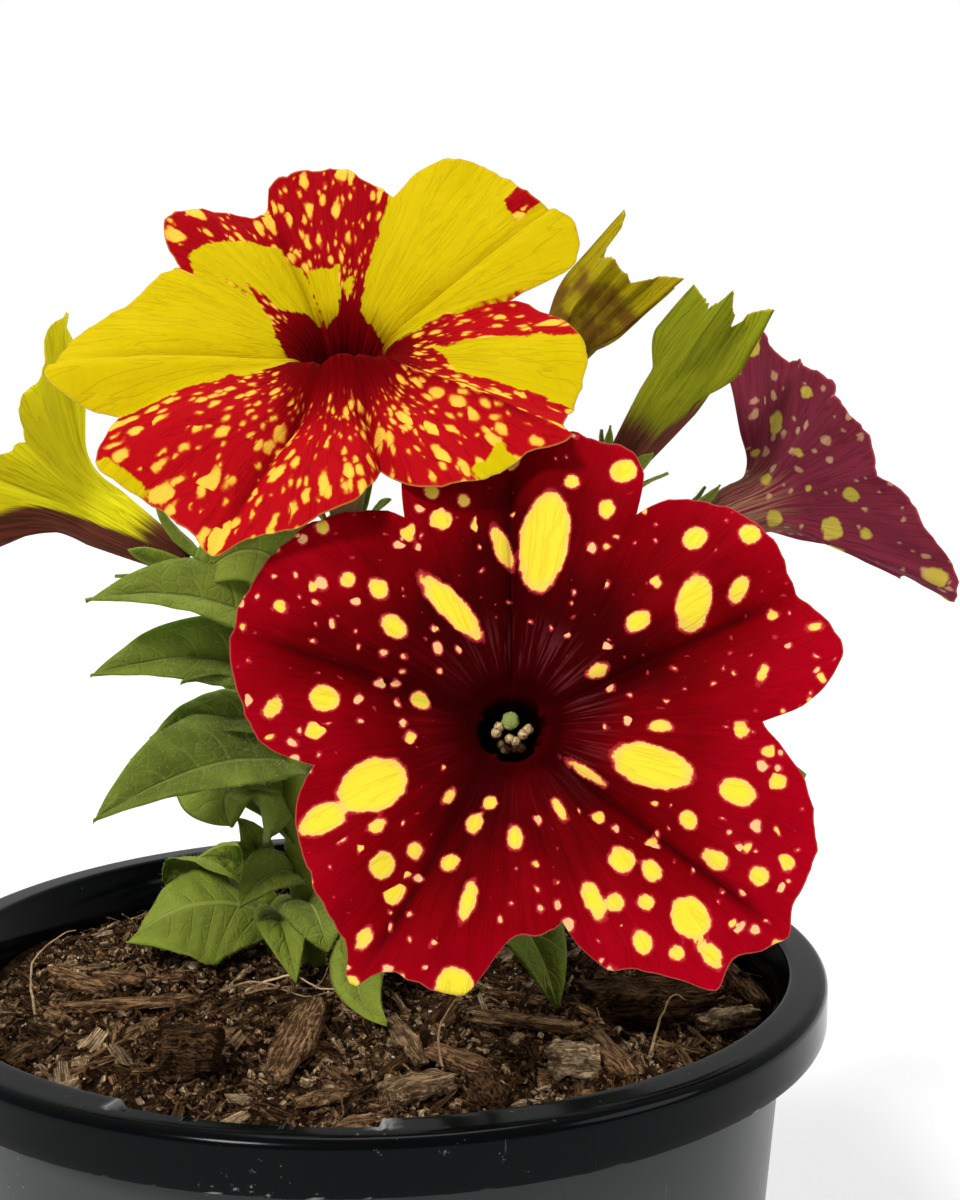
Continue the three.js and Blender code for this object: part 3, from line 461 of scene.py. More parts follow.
class Paint:
    """Builds one material's nodes, each made by a short call."""

    def __init__(self, name, roughness, specular=0.5):
        self.material = bpy.data.materials.new(name)
        self.material.use_nodes = True
        self.tree = self.material.node_tree
        self.shader = self.tree.nodes["Principled BSDF"]
        self.shader.inputs["Roughness"].default_value = roughness
        self.shader.inputs["Specular IOR Level"].default_value = specular

    def join(self, value, socket):
        """Links an output to a socket, or sets a plain value on it."""
        value = value.socket if isinstance(value, Number) else value
        if isinstance(value, bpy.types.NodeSocket):
            self.tree.links.new(value, socket)
        elif socket.type == "RGBA":
            socket.default_value = (*tuple(value)[:3], 1)
        else:
            socket.default_value = value

    def node(self, kind, inputs=None, **settings):
        """A node with its settings and inputs; an input is a value or another node's output."""
        made = self.tree.nodes.new(kind)
        for key, value in settings.items():
            setattr(made, key, value)
        for key, value in (inputs or {}).items():
            self.join(value, made.inputs[key])
        return made

    def number(self, node, output=0):
        """One of a node's outputs, to write sums with."""
        return Number(self, node.outputs[output])

    def sum(self, kind, *values, clamp=False):
        """A Math node."""
        inputs = dict(enumerate(values))
        return self.number(self.node("ShaderNodeMath", inputs, operation=kind, use_clamp=clamp))

    def larger(self, first, second):
        """The larger of two values."""
        return self.sum("MAXIMUM", first, second)

    def vector(self, kind, first, second):
        """A Vector Math node that gives a vector."""
        return self.node("ShaderNodeVectorMath", {0: first, 1: second}, operation=kind).outputs[0]

    def mix(self, share, first, second):
        """Blends two colours."""
        return self.node("ShaderNodeMix", {0: share, 6: first, 7: second}, data_type="RGBA").outputs[2]

    def coats(self, tone, *coats):
        """Lays coats over a colour one after another, each a share and a colour."""
        for share, coat in coats:
            tone = self.mix(share, tone, coat)
        return tone

    def step(self, value, low, high, out_low=0.0, out_high=1.0):
        """Maps a value from low..high to out_low..out_high with eased ends."""
        inputs = {0: value, 1: low, 2: high, 3: out_low, 4: out_high}
        return self.number(self.node("ShaderNodeMapRange", inputs, interpolation_type="SMOOTHSTEP"))

    def fade(self, value, low, high):
        """Falls from 1 at low to 0 at high, with eased ends."""
        return self.step(value, low, high, 1.0, 0.0)

    def value(self, name):
        """A number stored on the piece's points."""
        return self.number(self.node("ShaderNodeAttribute", attribute_name=name), "Fac")

    def place(self):
        """The place on the piece, in metres."""
        return self.node("ShaderNodeTexCoord").outputs["Object"]

    def split(self, vector):
        """The three parts of a vector."""
        node = self.node("ShaderNodeSeparateXYZ", {0: vector})
        return [self.number(node, part) for part in range(3)]

    def stack(self, x=0.0, y=0.0, z=0.0):
        """A vector from its parts."""
        return self.node("ShaderNodeCombineXYZ", {0: x, 1: y, 2: z}).outputs[0]

    def noise(self, at, scale, detail=3.0, roughness=0.55, distortion=0.0):
        """Soft noise from 0 to 1."""
        inputs = {"Vector": at, "Scale": scale, "Detail": detail, "Roughness": roughness,
                  "Distortion": distortion}
        return self.number(self.node("ShaderNodeTexNoise", inputs), "Fac")

    def cells(self, at, scale, feature="F1", dimensions="3D"):
        """Cells: the distance to the nearest point, and that cell's random colour."""
        node = self.node("ShaderNodeTexVoronoi", {"Vector": at, "Scale": scale}, feature=feature,
                         voronoi_dimensions=dimensions)
        return self.number(node, "Distance"), node.outputs.get("Color")

    def colour(self, value):
        """Sets the surface's colour."""
        self.join(value, self.shader.inputs["Base Color"])

    def roughness(self, value):
        """Sets the surface's roughness."""
        self.join(value, self.shader.inputs["Roughness"])

    def bump(self, height, distance, strength=1.0):
        """Adds relief from a height, in metres, on top of any before it."""
        socket = self.shader.inputs["Normal"]
        node = self.node("ShaderNodeBump", {"Height": height, "Distance": distance, "Strength": strength})
        if socket.links:
            self.tree.links.new(socket.links[0].from_socket, node.inputs["Normal"])
        self.tree.links.new(node.outputs[0], socket)

    def sheen(self, weight, roughness, tint):
        """Adds a soft velvet sheen."""
        self.shader.inputs["Sheen Weight"].default_value = weight
        self.shader.inputs["Sheen Roughness"].default_value = roughness
        self.shader.inputs["Sheen Tint"].default_value = (*tint, 1)

    def glow_through(self, weight, radius, scale):
        """Lets light through a thin living surface."""
        self.shader.inputs["Subsurface Weight"].default_value = weight
        self.shader.inputs["Subsurface Radius"].default_value = radius
        self.shader.inputs["Subsurface Scale"].default_value = scale


def black_plastic(settings):
    """Glossy black plastic, duller below the rim, where its lighter grey is a painted reflection of the
    floor, with fine dust, scuffs and a pale torn flash.
    """
    paint = Paint("black_plastic", 0.2, 0.07)
    at = paint.place()
    specks = paint.step(paint.noise(at, 900, 5, 0.7) * paint.noise(at, 60, 3, 0.6), 0.39, 0.44)
    stretched = paint.vector("MULTIPLY", at, (400, 400, 40))
    scratches = paint.step(paint.noise(stretched, 2.2, 4, 0.6), 0.71, 0.76)
    worn = paint.larger(specks * 0.4, scratches * 0.15)
    worn = paint.larger(worn, paint.value("flash"))
    band_foot = RIM - settings.rim_drop
    skirt = paint.fade(paint.split(at)[2], band_foot - 0.0006, band_foot) * paint.value("skirt")
    # painted reflection: the wall below the band is a lighter grey for the floor it reflects; its extra
    # roughness is real
    dull_with_painted_reflection = paint.mix(skirt, settings.plastic, settings.wall_tone_with_painted_reflection)
    paint.colour(paint.mix(worn, dull_with_painted_reflection, settings.scuff))
    haze = paint.step(paint.noise(at, 35, 4, 0.6), 0.3, 0.75, 0.07, 0.16)
    paint.roughness(paint.sum("ADD", haze + skirt * 0.2, worn * 0.5, clamp=True))
    paint.bump(paint.noise(at, 260, 2), 0.00004, 0.3)
    return paint.material


def moist_peat(settings):
    """Dark crumbly peat."""
    paint = Paint("moist_peat", 0.95, 0.05)
    at = paint.place()
    light = paint.step(paint.noise(at, 420, 6, 0.7), 0.45, 0.75)
    brown = paint.mix(light, settings.peat, (0.12, 0.060, 0.026))
    pale = paint.step(paint.noise(at, 1500, 2), 0.68, 0.75)
    paint.colour(paint.mix(pale * 0.5, brown, (0.24, 0.17, 0.1)))
    paint.bump(paint.noise(at, 900, 5, 0.7), 0.0016)
    return paint.material


def bark(settings):
    """Bark chips, each with a tone of its own and fibres along its length."""
    paint = Paint("bark", 0.9, 0.06)
    at = paint.place()
    own = paint.value("tone")
    grain = paint.stack(paint.value("grain_x") * 0.09, paint.value("grain_y"), paint.value("grain_z"))
    fine = paint.noise(at, 1300, 4, 0.7)
    fibre = paint.step(paint.noise(grain, 2.6, 4, 0.7), 0.36, 0.64)
    lit = paint.step((fine + fibre) * 0.5, 0.25, 0.75)
    dark = paint.mix(lit, (0.013, 0.006, 0.002), (0.17, 0.088, 0.038))
    fresh = paint.mix(lit, (0.065, 0.030, 0.012), settings.bark)
    pale = paint.mix(lit, (0.24, 0.14, 0.065), (0.95, 0.70, 0.42))
    soiled = paint.step(paint.noise(at, 300, 4, 0.65), 0.48, 0.62)
    paint.colour(paint.coats(
        dark,
        (paint.step(own, 0.35, 0.62), fresh),
        (paint.step(own, 0.72, 0.92), pale),
        (soiled * 0.42, (0.016, 0.007, 0.003)),
    ))
    paint.bump(fibre, 0.0006)
    paint.bump(fine, 0.0005)
    return paint.material


def white_grit():
    """Grains of pale grit."""
    paint = Paint("white_grit", 0.6)
    tone = paint.noise(paint.place(), 900, 3)
    paint.colour(paint.mix(tone, (0.45, 0.41, 0.33), (0.90, 0.87, 0.78)))
    paint.bump(tone, 0.0002)
    return paint.material


def leaf_green(settings):
    """Soft downy leaves with paler veins, and stems of the same tissue."""
    paint = Paint("leaf_green", 0.65, 0.1)
    at = paint.place()
    across, along = paint.value("across"), paint.value("along")
    inward = paint.sum("ABSOLUTE", across)
    forward = paint.sum("POWER", inward, LEAF["vein_bend"]) * LEAF["vein_sweep"]
    row = (along - forward) * LEAF["vein_rows"]
    apart = paint.sum("ABSOLUTE", paint.sum("FRACT", row) - 0.5)
    side = paint.fade(apart, 0.0, 0.1) * paint.step(inward, 0.3, 0.9, 0.7, 0.0)
    middle = paint.fade(inward, 0.02, 0.075)
    net = paint.step(paint.cells(at, 520, "DISTANCE_TO_EDGE")[0], 0.0, 0.12, 0.28, 0.0)
    vein = paint.larger(paint.larger(side, middle * 1.5), net)
    vein = vein * paint.value("is_leaf")
    tone = paint.noise(at, 70, 4, 0.6)
    speckled = paint.step(paint.noise(at, 900, 3, 0.6), 0.62, 0.7, 0.0, 0.35)
    paint.colour(paint.coats(
        shade(settings.blade, 0.42),
        (paint.step(tone, 0.3, 0.7), settings.blade),
        (paint.value("young"), settings.young),
        (paint.step(tone, 0.5, 0.8) * 0.35, (0.27, 0.33, 0.05)),
        (speckled, (0.30, 0.36, 0.14)),
        (vein * 0.45, settings.vein),
    ))
    paint.bump(1.0 - vein, 0.0003, 0.8)
    paint.bump(paint.noise(at, 2600, 3, 0.6), 0.00012, 0.6)
    paint.sheen(0.05, 0.4, (0.8, 1.0, 0.4))
    paint.glow_through(0.2, (0.4, 1.0, 0.15), 0.0012)
    return paint.material


def down_finish():
    """Fine colourless hairs."""
    paint = Paint("down_finish", 0.45)
    tone = paint.noise(paint.place(), 400, 2)
    paint.colour(paint.mix(tone, (0.26, 0.34, 0.12), (0.60, 0.66, 0.40)))
    return paint.material


UNMARKED = -9.0  # a marking's depth, in millimetres, far outside it
BESIDE = (31.0, 17.0, 0.0)  # moves a map, so that a second set of dots falls elsewhere


class Petal(Paint):
    """A velvet petal, painted on its own maps: directions round the throat and arcs out from it."""

    def __init__(self, name):
        super().__init__(name, 0.6, 0.012)
        self.arc = self.value("arc")
        self.cos, self.sin = self.value("cos"), self.value("sin")
        self.radius = self.larger(self.arc + 6.0, 1.0)
        self.flat = self.stack(self.cos * self.arc, self.sin * self.arc)
        self.streak = self.noise(self.around(9, 0.035), 2.4, 3, 0.6, 0.2)
        fine = self.noise(self.around(7, 0.03), 2.6, 2, 0.5, 0.35)
        self.vein = self.fade(self.sum("ABSOLUTE", fine - 0.5), 0.0, 0.03)
        self.outside = self.value("outside")
        self.crease = self.value("crease")
        self.middle = self.value("middle")

    def around(self, radius, along):
        """A map on a drum: features keep their number round the petals and run along them."""
        return self.stack(self.cos * radius, self.sin * radius, self.arc * along)

    def unrolled(self, stretch):
        """A flat map cut open at its left, whose marks grow with their distance from the throat."""
        far = self.sum("LOGARITHM", self.radius * (1 / 20), math.e)
        return self.stack(self.sum("ARCTAN2", self.sin, self.cos), far * stretch)

    def ragged(self, distance, size, reach):
        """A distance to a marking's edge, in millimetres, made uneven."""
        return distance + (self.noise(self.flat, 1 / size, 3, 0.6) - 0.5) * reach

    def streaky(self, reach):
        """An uneven shift along the petal, in millimetres, that follows its streaks."""
        return (self.streak - 0.5) * reach

    def dots(self, chart, cell, share, least, greatest, warped=1.8, scale=1.0):
        """Distance into the nearest of the dots that a share of a chart's cells holds."""
        warp = self.node("ShaderNodeTexNoise", {"Vector": self.flat, "Scale": 0.45, "Detail": 2.0})
        shift = self.vector("SUBTRACT", warp.outputs["Color"], (0.5, 0.5, 0.5))
        bent = self.vector("ADD", chart, self.vector("MULTIPLY", shift, (warped,) * 3))
        apart, own = self.cells(bent, 1 / cell, "F1", "2D")
        parts = self.split(own)
        chosen = self.sum("GREATER_THAN", parts[0], share)
        size = self.step(self.sum("POWER", parts[1], 1.7), 0.0, 1.0, least, greatest)
        inside = (size - apart * cell) * scale
        return inside + chosen * UNMARKED

    def finish(self, face, back, margin, veined=0.5):
        """Sets the colours of both sides and of the margin (its width, share and colour), and the fine
        relief of veins and velvet."""
        width, share, tint = margin
        rim = self.step(self.value("edge"), 0.0, width, share, 0.0)
        self.colour(self.coats(face, (self.outside, back), (rim, tint)))
        self.bump(1.0 - self.vein, 0.0001, veined)
        self.bump(self.streak, 0.0005, 0.3)
        self.bump(self.noise(self.place(), 2800, 2, 0.5), 0.00004, 0.5)
        self.glow_through(0.12, (1.0, 0.2, 0.06), 0.001)
        return self.material


def crimson_petal(settings):
    """Crimson velvet with a near-black centre and haloed yellow spots."""
    paint = Petal("crimson_petal")
    cloudy = (paint.noise(paint.flat, 0.1, 2) - 0.5) * 20.0
    # painted shade: darker along each lobe's middle and on the upper lobes, where shade falls
    shaded = paint.middle * 7.0 + paint.larger(paint.sin, 0.0) * 11.0
    out = paint.arc + paint.streaky(10) + cloudy - shaded
    ring = paint.step(paint.arc, 6, 10) * paint.fade(paint.arc, 10, 16)
    ring = ring * paint.step(paint.streak, 0.5, 0.6)
    ring = ring * paint.step(paint.cos + paint.sin, -0.4, 1.0, 0.05, 0.6)
    near = paint.ragged(paint.ragged(paint.value("blotch"), 1.6, 0.8), 4.0, 0.9)
    crowd = paint.step(paint.noise(paint.flat, 0.09, 1), 0.35, 0.65, -0.35, 0.15)
    crowd = crowd + paint.step(paint.arc, 7, 13, -3.0, 0.0)  # no dots in the throat
    crowd = crowd + paint.step(paint.value("blotch"), -1.6, -0.7, 0.0, -3.0)  # or beside a large spot
    inside = paint.larger(near, paint.dots(paint.flat, 5.2, 0.5, 0.45, 1.35) + crowd)
    small = paint.dots(paint.vector("ADD", paint.flat, BESIDE), 2.5, 0.68, 0.16, 0.66) + crowd
    yellow = paint.coats(
        settings.spot,
        (paint.vein * 0.3, (0.6, 0.42, 0.02)),
        (paint.fade(inside, 0.1, 0.8), (0.88, 0.58, 0.12)),
    )
    face = paint.coats(
        settings.maroon,
        (paint.step(out, 3, 25), settings.crimson),
        (paint.step(out, 17, 40), (1.75 * settings.crimson[0], 0.0004, 0.0085)),
        # painted light: the throat and tube are made a lighter red, to offset the shade deep inside them
        (paint.fade(paint.arc, 0.0, 5.5), (0.1, 0.001, 0.003)),
        (paint.vein * 0.12, settings.maroon),
        # painted shade along the midrib creases
        (paint.crease * 0.85, settings.maroon),
        (ring * 0.7, (0.17, 0.03, 0.036)),
        (paint.step(paint.larger(inside, small), -0.3, 0.0) * 0.75, (0.55, 0.03, 0.045)),
        (paint.step(small, -0.02, 0.12), (0.9, 0.5, 0.22)),
        (paint.step(inside, -0.04, 0.14), yellow),
    )
    back = paint.coats(
        (0.26, 0.03, 0.05),
        (paint.vein * 0.5, (0.12, 0.02, 0.03)),
        (paint.step(inside, -0.1, 0.5), (0.5, 0.42, 0.12)),
        (paint.fade(paint.arc, 0, 9), (0.16, 0.09, 0.06)),
    )
    return paint.finish(face, back, (0.24, 0.5, (0.66, 0.16, 0.12)))


def yellow_petal(settings):
    """Bright yellow, with red parts that are full of yellow spots and a dark throat."""
    paint = Petal("yellow_petal")
    field = paint.ragged(paint.value("blotch"), 3.2, 2.6) + paint.streaky(1.2)
    chart = paint.unrolled(0.62)
    beside = paint.vector("ADD", chart, (9.0, 4.0, 0.0))
    crowd = paint.step(paint.noise(paint.flat, 0.16, 2), 0.3, 0.7, -0.35, 0.30)
    large = paint.dots(chart, 0.088, 0.66, 0.014, 0.037, 0.05, paint.radius) + crowd
    small = paint.dots(beside, 0.055, 0.7, 0.006, 0.020, 0.05, paint.radius) + crowd * 0.4
    spots = paint.larger(large, small) + paint.step(paint.arc, 4.5, 12, -3.0, 0.0)
    deep = (0.10, 0.0, 0.0008)
    red = paint.coats(
        deep,
        (paint.step(paint.arc + paint.streaky(8), 6, 19), (0.43, 0.0035, 0.0075)),
        # painted shade: the red of the upper lobes is darker
        (paint.step(paint.sin, 0.1, 0.5) * 0.42, (0.2, 0.0008, 0.004)),  # the upper lobes are darker
        # veins, with painted shade along the midrib creases
        (paint.larger(paint.vein * 0.25, paint.crease * 0.6), deep),
        (paint.step(spots, -0.25, 0.0) * 0.6, (0.58, 0.07, 0.01)),
        (paint.step(spots, -0.08, 0.2), paint.mix(paint.step(spots, 0.0, 0.5), (0.84, 0.42, 0.05),
                                                  (0.86, 0.56, 0.06))),
    )
    netted = paint.fade(paint.cells(paint.around(15, 0.45), 0.8, "DISTANCE_TO_EDGE")[0], 0.0, 0.16)
    lines = paint.larger(paint.vein * 0.38, netted * 0.1)
    # painted shade: darker along some streaks, for the shade in the petal's folds; the vein lines are real
    lines = paint.larger(lines, paint.step(paint.streak, 0.45, 0.65, 0.0, 0.2))
    yellow = paint.coats(
        settings.yellow,
        # veins, with painted shade along the folds and the midrib creases
        (paint.larger(lines, paint.crease * 0.6), (0.36, 0.25, 0.003)),
        (paint.step(paint.noise(paint.flat, 0.13, 3), 0.35, 0.7) * 0.35, (0.66, 0.49, 0.006)),
    )
    throat = paint.mix(paint.step(paint.streak, 0.4, 0.6), (0.19, 0.001, 0.003), (0.07, 0.0005, 0.001))
    face = paint.coats(
        red,
        (paint.step(field, -0.12, 0.25), yellow),
        (paint.fade(paint.arc + paint.streaky(7), 4, 11), throat),
    )
    back = paint.coats(
        (0.34, 0.045, 0.035),
        (paint.step(paint.value("blotch"), -1.5, 1.5), (0.56, 0.46, 0.04)),
        (paint.vein * 0.45, (0.4, 0.28, 0.03)),
        (paint.fade(paint.arc, 0, 10), (0.22, 0.13, 0.06)),
    )
    paint.bump(netted, 0.00006, 0.5)
    return paint.finish(face, back, (0.3, 0.4, (0.66, 0.42, 0.08)))


def maroon_petal(settings):
    """Dusky purple-red on the outside, with yellow-green spots and paler ribs on the tube."""
    paint = Petal("maroon_petal")
    large = paint.ragged(paint.dots(paint.flat, 7.0, 0.5, 0.8, 2.1), 1.8, 0.5)
    small = paint.dots(paint.vector("ADD", paint.flat, BESIDE), 3.2, 0.6, 0.3, 0.95)
    ribbed = paint.fade(paint.arc, 0, 11) * paint.step(paint.streak, 0.42, 0.58)
    back = paint.coats(
        (0.21, 0.026, 0.052),
        (paint.vein * 0.3, (0.11, 0.01, 0.024)),
        (paint.step(paint.streak, 0.42, 0.66, 0.0, 0.3), (0.17, 0.032, 0.036)),
        (ribbed, (0.34, 0.2, 0.1)),
        (paint.step(small, -0.2, 0.35, 0.0, 0.85), (0.58, 0.34, 0.2)),
        (paint.step(large, -0.2, 0.4), (0.56, 0.45, 0.07)),
    )
    face = paint.coats(
        settings.maroon,
        (paint.step(paint.arc, 6, 24), settings.crimson),
        (paint.step(large, -0.1, 0.3), settings.spot),
    )
    return paint.finish(face, back, (0.4, 0.5, (0.42, 0.1, 0.1)), 0.9)


def green_petal(name, base, brown, mottled):
    """A young yellow-green petal, mottled dark, with brown up its tube: how far it climbs all round,
    a direction in degrees, and how much further it climbs there."""
    paint = Petal(name)
    rise, side, depth = brown[0], math.radians(brown[1]), brown[2]
    patches = paint.noise(paint.place(), 160, 3, 0.55) + paint.step(paint.arc, 2, 20, 0.16, -0.12)
    facing = paint.cos * math.cos(side) + paint.sin * math.sin(side)
    limit = paint.step(facing, 0.25, 1.0, rise, rise + depth) + paint.streaky(8)
    earth = paint.mix(paint.step(paint.streak, 0.4, 0.6), (0.19, 0.05, 0.032), (0.10, 0.036, 0.020))
    back = paint.coats(
        base,
        # veins, with painted shade along the midrib creases
        (paint.larger(paint.vein * 0.25, paint.crease * 0.9), shade(base, 0.5)),
        (paint.step(paint.streak, 0.45, 0.65) * 0.5, shade(base, 1.2)),
        (paint.step(patches, 0.42, 0.68, 0.0, mottled), (0.13, 0.045, 0.010)),
        (paint.step(limit - paint.arc, -1.5, 3.0), earth),
    )
    face = paint.mix(paint.vein * 0.4, (0.61, 0.475, 0.002), (0.5, 0.34, 0.005))
    return paint.finish(face, back, (0.4, 0.5, (0.5, 0.45, 0.05)), 0.9)


def stamen_finish():
    """Pale filaments, tan anthers dusted with pollen and a green stigma."""
    paint = Paint("stamen_finish", 0.6, 0.3)
    grain = paint.noise(paint.place(), 2600, 3)
    tan = paint.mix(paint.step(grain, 0.35, 0.65), (0.34, 0.19, 0.07), (0.95, 0.74, 0.40))
    green = paint.mix(grain, (0.20, 0.26, 0.05), (0.42, 0.48, 0.12))
    tone = paint.mix(paint.value("anther"), (0.30, 0.32, 0.14), tan)
    paint.colour(paint.mix(paint.value("stigma"), tone, green))
    paint.bump(grain, 0.0003)
    return paint.material


# ---------------------------------------------------------------------------
# The pot
# ---------------------------------------------------------------------------

POT = {
    "rim_inner": 65.1,  # inner edge of the rim's flat top
    "rim_skin": 2.0,
    "lip_round": 0.8,
    "wall_inset": 5.5,  # from the rim's outer edge to the wall under it
    "taper": 0.08,  # the wall narrows by this much per millimetre of depth
    "floor": 2.2,
    "corner": 1.4,
    "bevel": 0.3,  # on the rolled band's lower edges
    "holes": 8,
    "hole_radius": 4.0,
    "hole_ring": 44.0,
}
SLOT = {"from": -116.0, "to": -89.0, "radius": 67.4, "ribs": (-108.5, -98.5), "rib": 0.45}


def bend(radius, height, size, start, end, steps=7):
    """An arc in a profile between two angles in degrees, as pairs of radius and height."""
    angles = np.radians(np.linspace(start, end, steps + 1))
    return [(radius + size * math.cos(a), height + size * math.sin(a)) for a in angles]


def pot_profile(settings):
    """The pot's outline from the middle of its underside round to the middle of its floor."""
    top, wall, drop = RIM / MM, settings.wall / MM, settings.rim_drop / MM
    rounding, corner, floor, bevel = settings.rim_round / MM, POT["corner"], POT["floor"], POT["bevel"]
    under_rim = top - POT["rim_skin"]
    band = RIM_RADIUS - wall

    def outer(height):
        return RIM_RADIUS - POT["wall_inset"] - POT["taper"] * (top - height)

    level = (3, 15, 30, 39.5, 48.5, 53)
    points = [(r, 0.0) for r in level]
    points += bend(outer(0) - corner, corner, corner, -90, 0)
    points += [(outer(h), h) for h in np.linspace(corner, under_rim, 14)[1:]]
    points += [(band - bevel, under_rim), (band, under_rim - bevel), (band, top - drop + bevel),
               (band + bevel, top - drop), (RIM_RADIUS - bevel, top - drop),
               (RIM_RADIUS - 0.05, top - drop + 0.15)]
    points += [(RIM_RADIUS, h) for h in np.linspace(top - drop + 0.4, top - rounding - 0.3, 5)]
    points += bend(RIM_RADIUS - rounding, top - rounding, rounding, 0, 90)
    points += [(SLOT["radius"] + r, top) for r in (0.5, 0.12, -0.12, -0.8, -1.5)]
    points += bend(POT["rim_inner"], top - POT["lip_round"], POT["lip_round"], 90, 180)
    points += [(outer(h) - wall, h) for h in np.linspace(under_rim, floor + corner, 12)]
    points += bend(outer(floor) - wall - corner, floor + corner, corner, 0, -90)
    points += [(r, floor) for r in level[-2::-1]]
    return np.array(points)


def slot_share(angles):
    """How far each direction, in degrees, lies in the label slot: 0 outside, 1 inside."""
    return ease((angles - SLOT["from"]) / 0.5) * ease((SLOT["to"] - angles) / 0.5)


def build_pot(settings):
    """The turned pot, with its label slot, the torn flash at its end and the drain holes."""
    profile = pot_profile(settings)
    top = RIM / MM
    band_foot = top - settings.rim_drop / MM + POT["bevel"]
    ends = [np.linspace(end - 1.2, end + 1.2, 13) for end in (SLOT["from"], SLOT["to"], *SLOT["ribs"])]
    angles = np.unique(np.round(np.concatenate([np.arange(-180, 180, 1.0), *ends]), 3))
    turn = np.radians(angles)
    radius, height = (profile[:, k][:, None] + 0 * angles for k in (0, 1))
    round_about = np.stack([radius * np.cos(turn), radius * np.sin(turn), height], -1)
    in_slot = slot_share(angles) * (radius < SLOT["radius"]) * (height > top - 1.5)
    lowered = np.minimum(height, top - settings.slot_depth / MM)
    ribs = sum(bell((angles - rib) / 0.35) for rib in SLOT["ribs"]) * SLOT["rib"]
    height = height + (lowered + ribs - height) * in_slot
    torn = bell((angles - SLOT["to"]) / 0.7) * (radius < 67.6) * (height > top - 2.2)
    height = height + torn * 0.35 * rough(round_about, 0.5, 3.0)
    ragged = np.maximum(rough(round_about * (1, 1, 0), 2.5, 9.0), 0)
    height = height - (radius > 69) * (height < band_foot) * 0.16 * ragged
    radius = radius - 0.1 * np.abs(rough(round_about * (1, 1, 0.3), 45, 5.0)) * (radius > 20)
    shape = Shape()
    shape.add(np.stack([radius * np.cos(turn), radius * np.sin(turn), height], -1))
    pot = shape.piece("nursery_pot", black_plastic(settings), 0)

    drill = Shape()
    for index in range(POT["holes"]):
        angle = 2 * math.pi * (index + 0.5) / POT["holes"]
        x, y = POT["hole_ring"] * math.cos(angle), POT["hole_ring"] * math.sin(angle)
        drill.add(rod([(x, y, -5), (x, y, 0), (x, y, 5)], POT["hole_radius"], 32))
    cutter = drill.piece("drain_holes", pot.data.materials[0], 0)
    cut = pot.modifiers.new("Drain holes", "BOOLEAN")
    cut.object = cutter
    mesh = baked(pot)
    pot.modifiers.clear()
    pot.data = mesh
    bpy.data.objects.remove(cutter)
    mesh.set_sharp_from_angle(angle=math.radians(40))

    spots = np.array([corner.co[:] for corner in mesh.vertices]) / MM
    angle = np.degrees(np.arctan2(spots[:, 1], spots[:, 0]))
    out = np.hypot(spots[:, 0], spots[:, 1])
    near_rim = (out < 67.7) * (spots[:, 2] > top - 2.6)
    at_ends = bell((angle - SLOT["to"]) / 1.0) + 0.6 * bell((angle - SLOT["from"]) / 0.5)
    flakes = ease(4 * (rough(spots * (1, 1, 0), 1.6, 2.0) - 0.25)) * (out > 69) * (spots[:, 2] < band_foot)
    worn = np.clip(at_ends, 0, 1) * near_rim * ease(1.5 * rough(spots, 0.7, 4.0) + 0.7) + 0.8 * flakes
    keep_value(mesh, "flash", np.clip(worn, 0, 1))
    skirt = POT["wall_inset"] + POT["taper"] * (top - spots[:, 2])
    keep_value(mesh, "skirt", out > RIM_RADIUS - skirt - 0.4)
    in_place(pot, "pot_plastic", "pot")


# ---------------------------------------------------------------------------
# The potting mix
# ---------------------------------------------------------------------------

SOIL = {"level": -8.5, "bump": 1.1, "edge": 62.4, "strewn": 60.5, "bottom": 2.5, "foot": 52.9}

# Chips and clods that stand out on the mix: both ends on its surface, the width and the thickness
# in millimetres, and a tone from dark (0) through fresh brown to pale (1).
CHIPS = {
    "slab": ((-8.6, -10), (-12.5, -37), 5.2, 2.0, 0.74),
    "long_splinter": ((-46, -9.8), (-27.5, -7.4), 2.2, 1.6, 0.68),
    "short_splinter": ((-43, 1), (-35.5, -1.7), 3.2, 1.8, 0.72),
    "fibrous": ((1.5, -46), (9.5, -41), 4.6, 2.6, 0.80),
    "block": ((23.4, -34.8), (30.4, -35.4), 4.6, 4.2, 0.90),
    "plank": ((30, -23), (34, -40), 4.0, 1.8, 0.52),
    "charcoal": ((31.5, -14.5), (49.5, -15.5), 11, 7, 0.0),
    "pale_pair": ((47.5, -20.8), (57, -17), 3.2, 2.8, 0.88),
    "edge_stick": ((57.5, 2), (58.6, -16), 3.4, 1.8, 0.5),
    "twig": ((14.5, -18.6), (29.5, -24.6), 2.6, 1.8, 0.76),
    "bent_strip": ((2.6, -15), (6.8, -32), 2.8, 1.2, 0.78),
    "rust_chip": ((7.5, -26.4), (16, -34.7), 4.4, 1.6, 0.58),
    "clod": ((-28, -33), (-20.5, -33.6), 7, 6, 0.12),
    "left_chip": ((-50, 2.6), (-40, -5), 3.4, 2.0, 0.6),
    "front_chip": ((-9.5, -44.8), (-3.6, -41.8), 2.6, 1.4, 0.7),
    "stub": ((13.6, -39.5), (15.8, -46.2), 4, 3, 0.2),
    "flake": ((37.8, -8.4), (42.4, -13.4), 3.2, 1.4, 0.66),
    "back_chip": ((-30, 30), (-16, 36), 5, 2.4, 0.66),
    "back_stick": ((20, 38), (38, 30), 3.6, 2.0, 0.72),
}
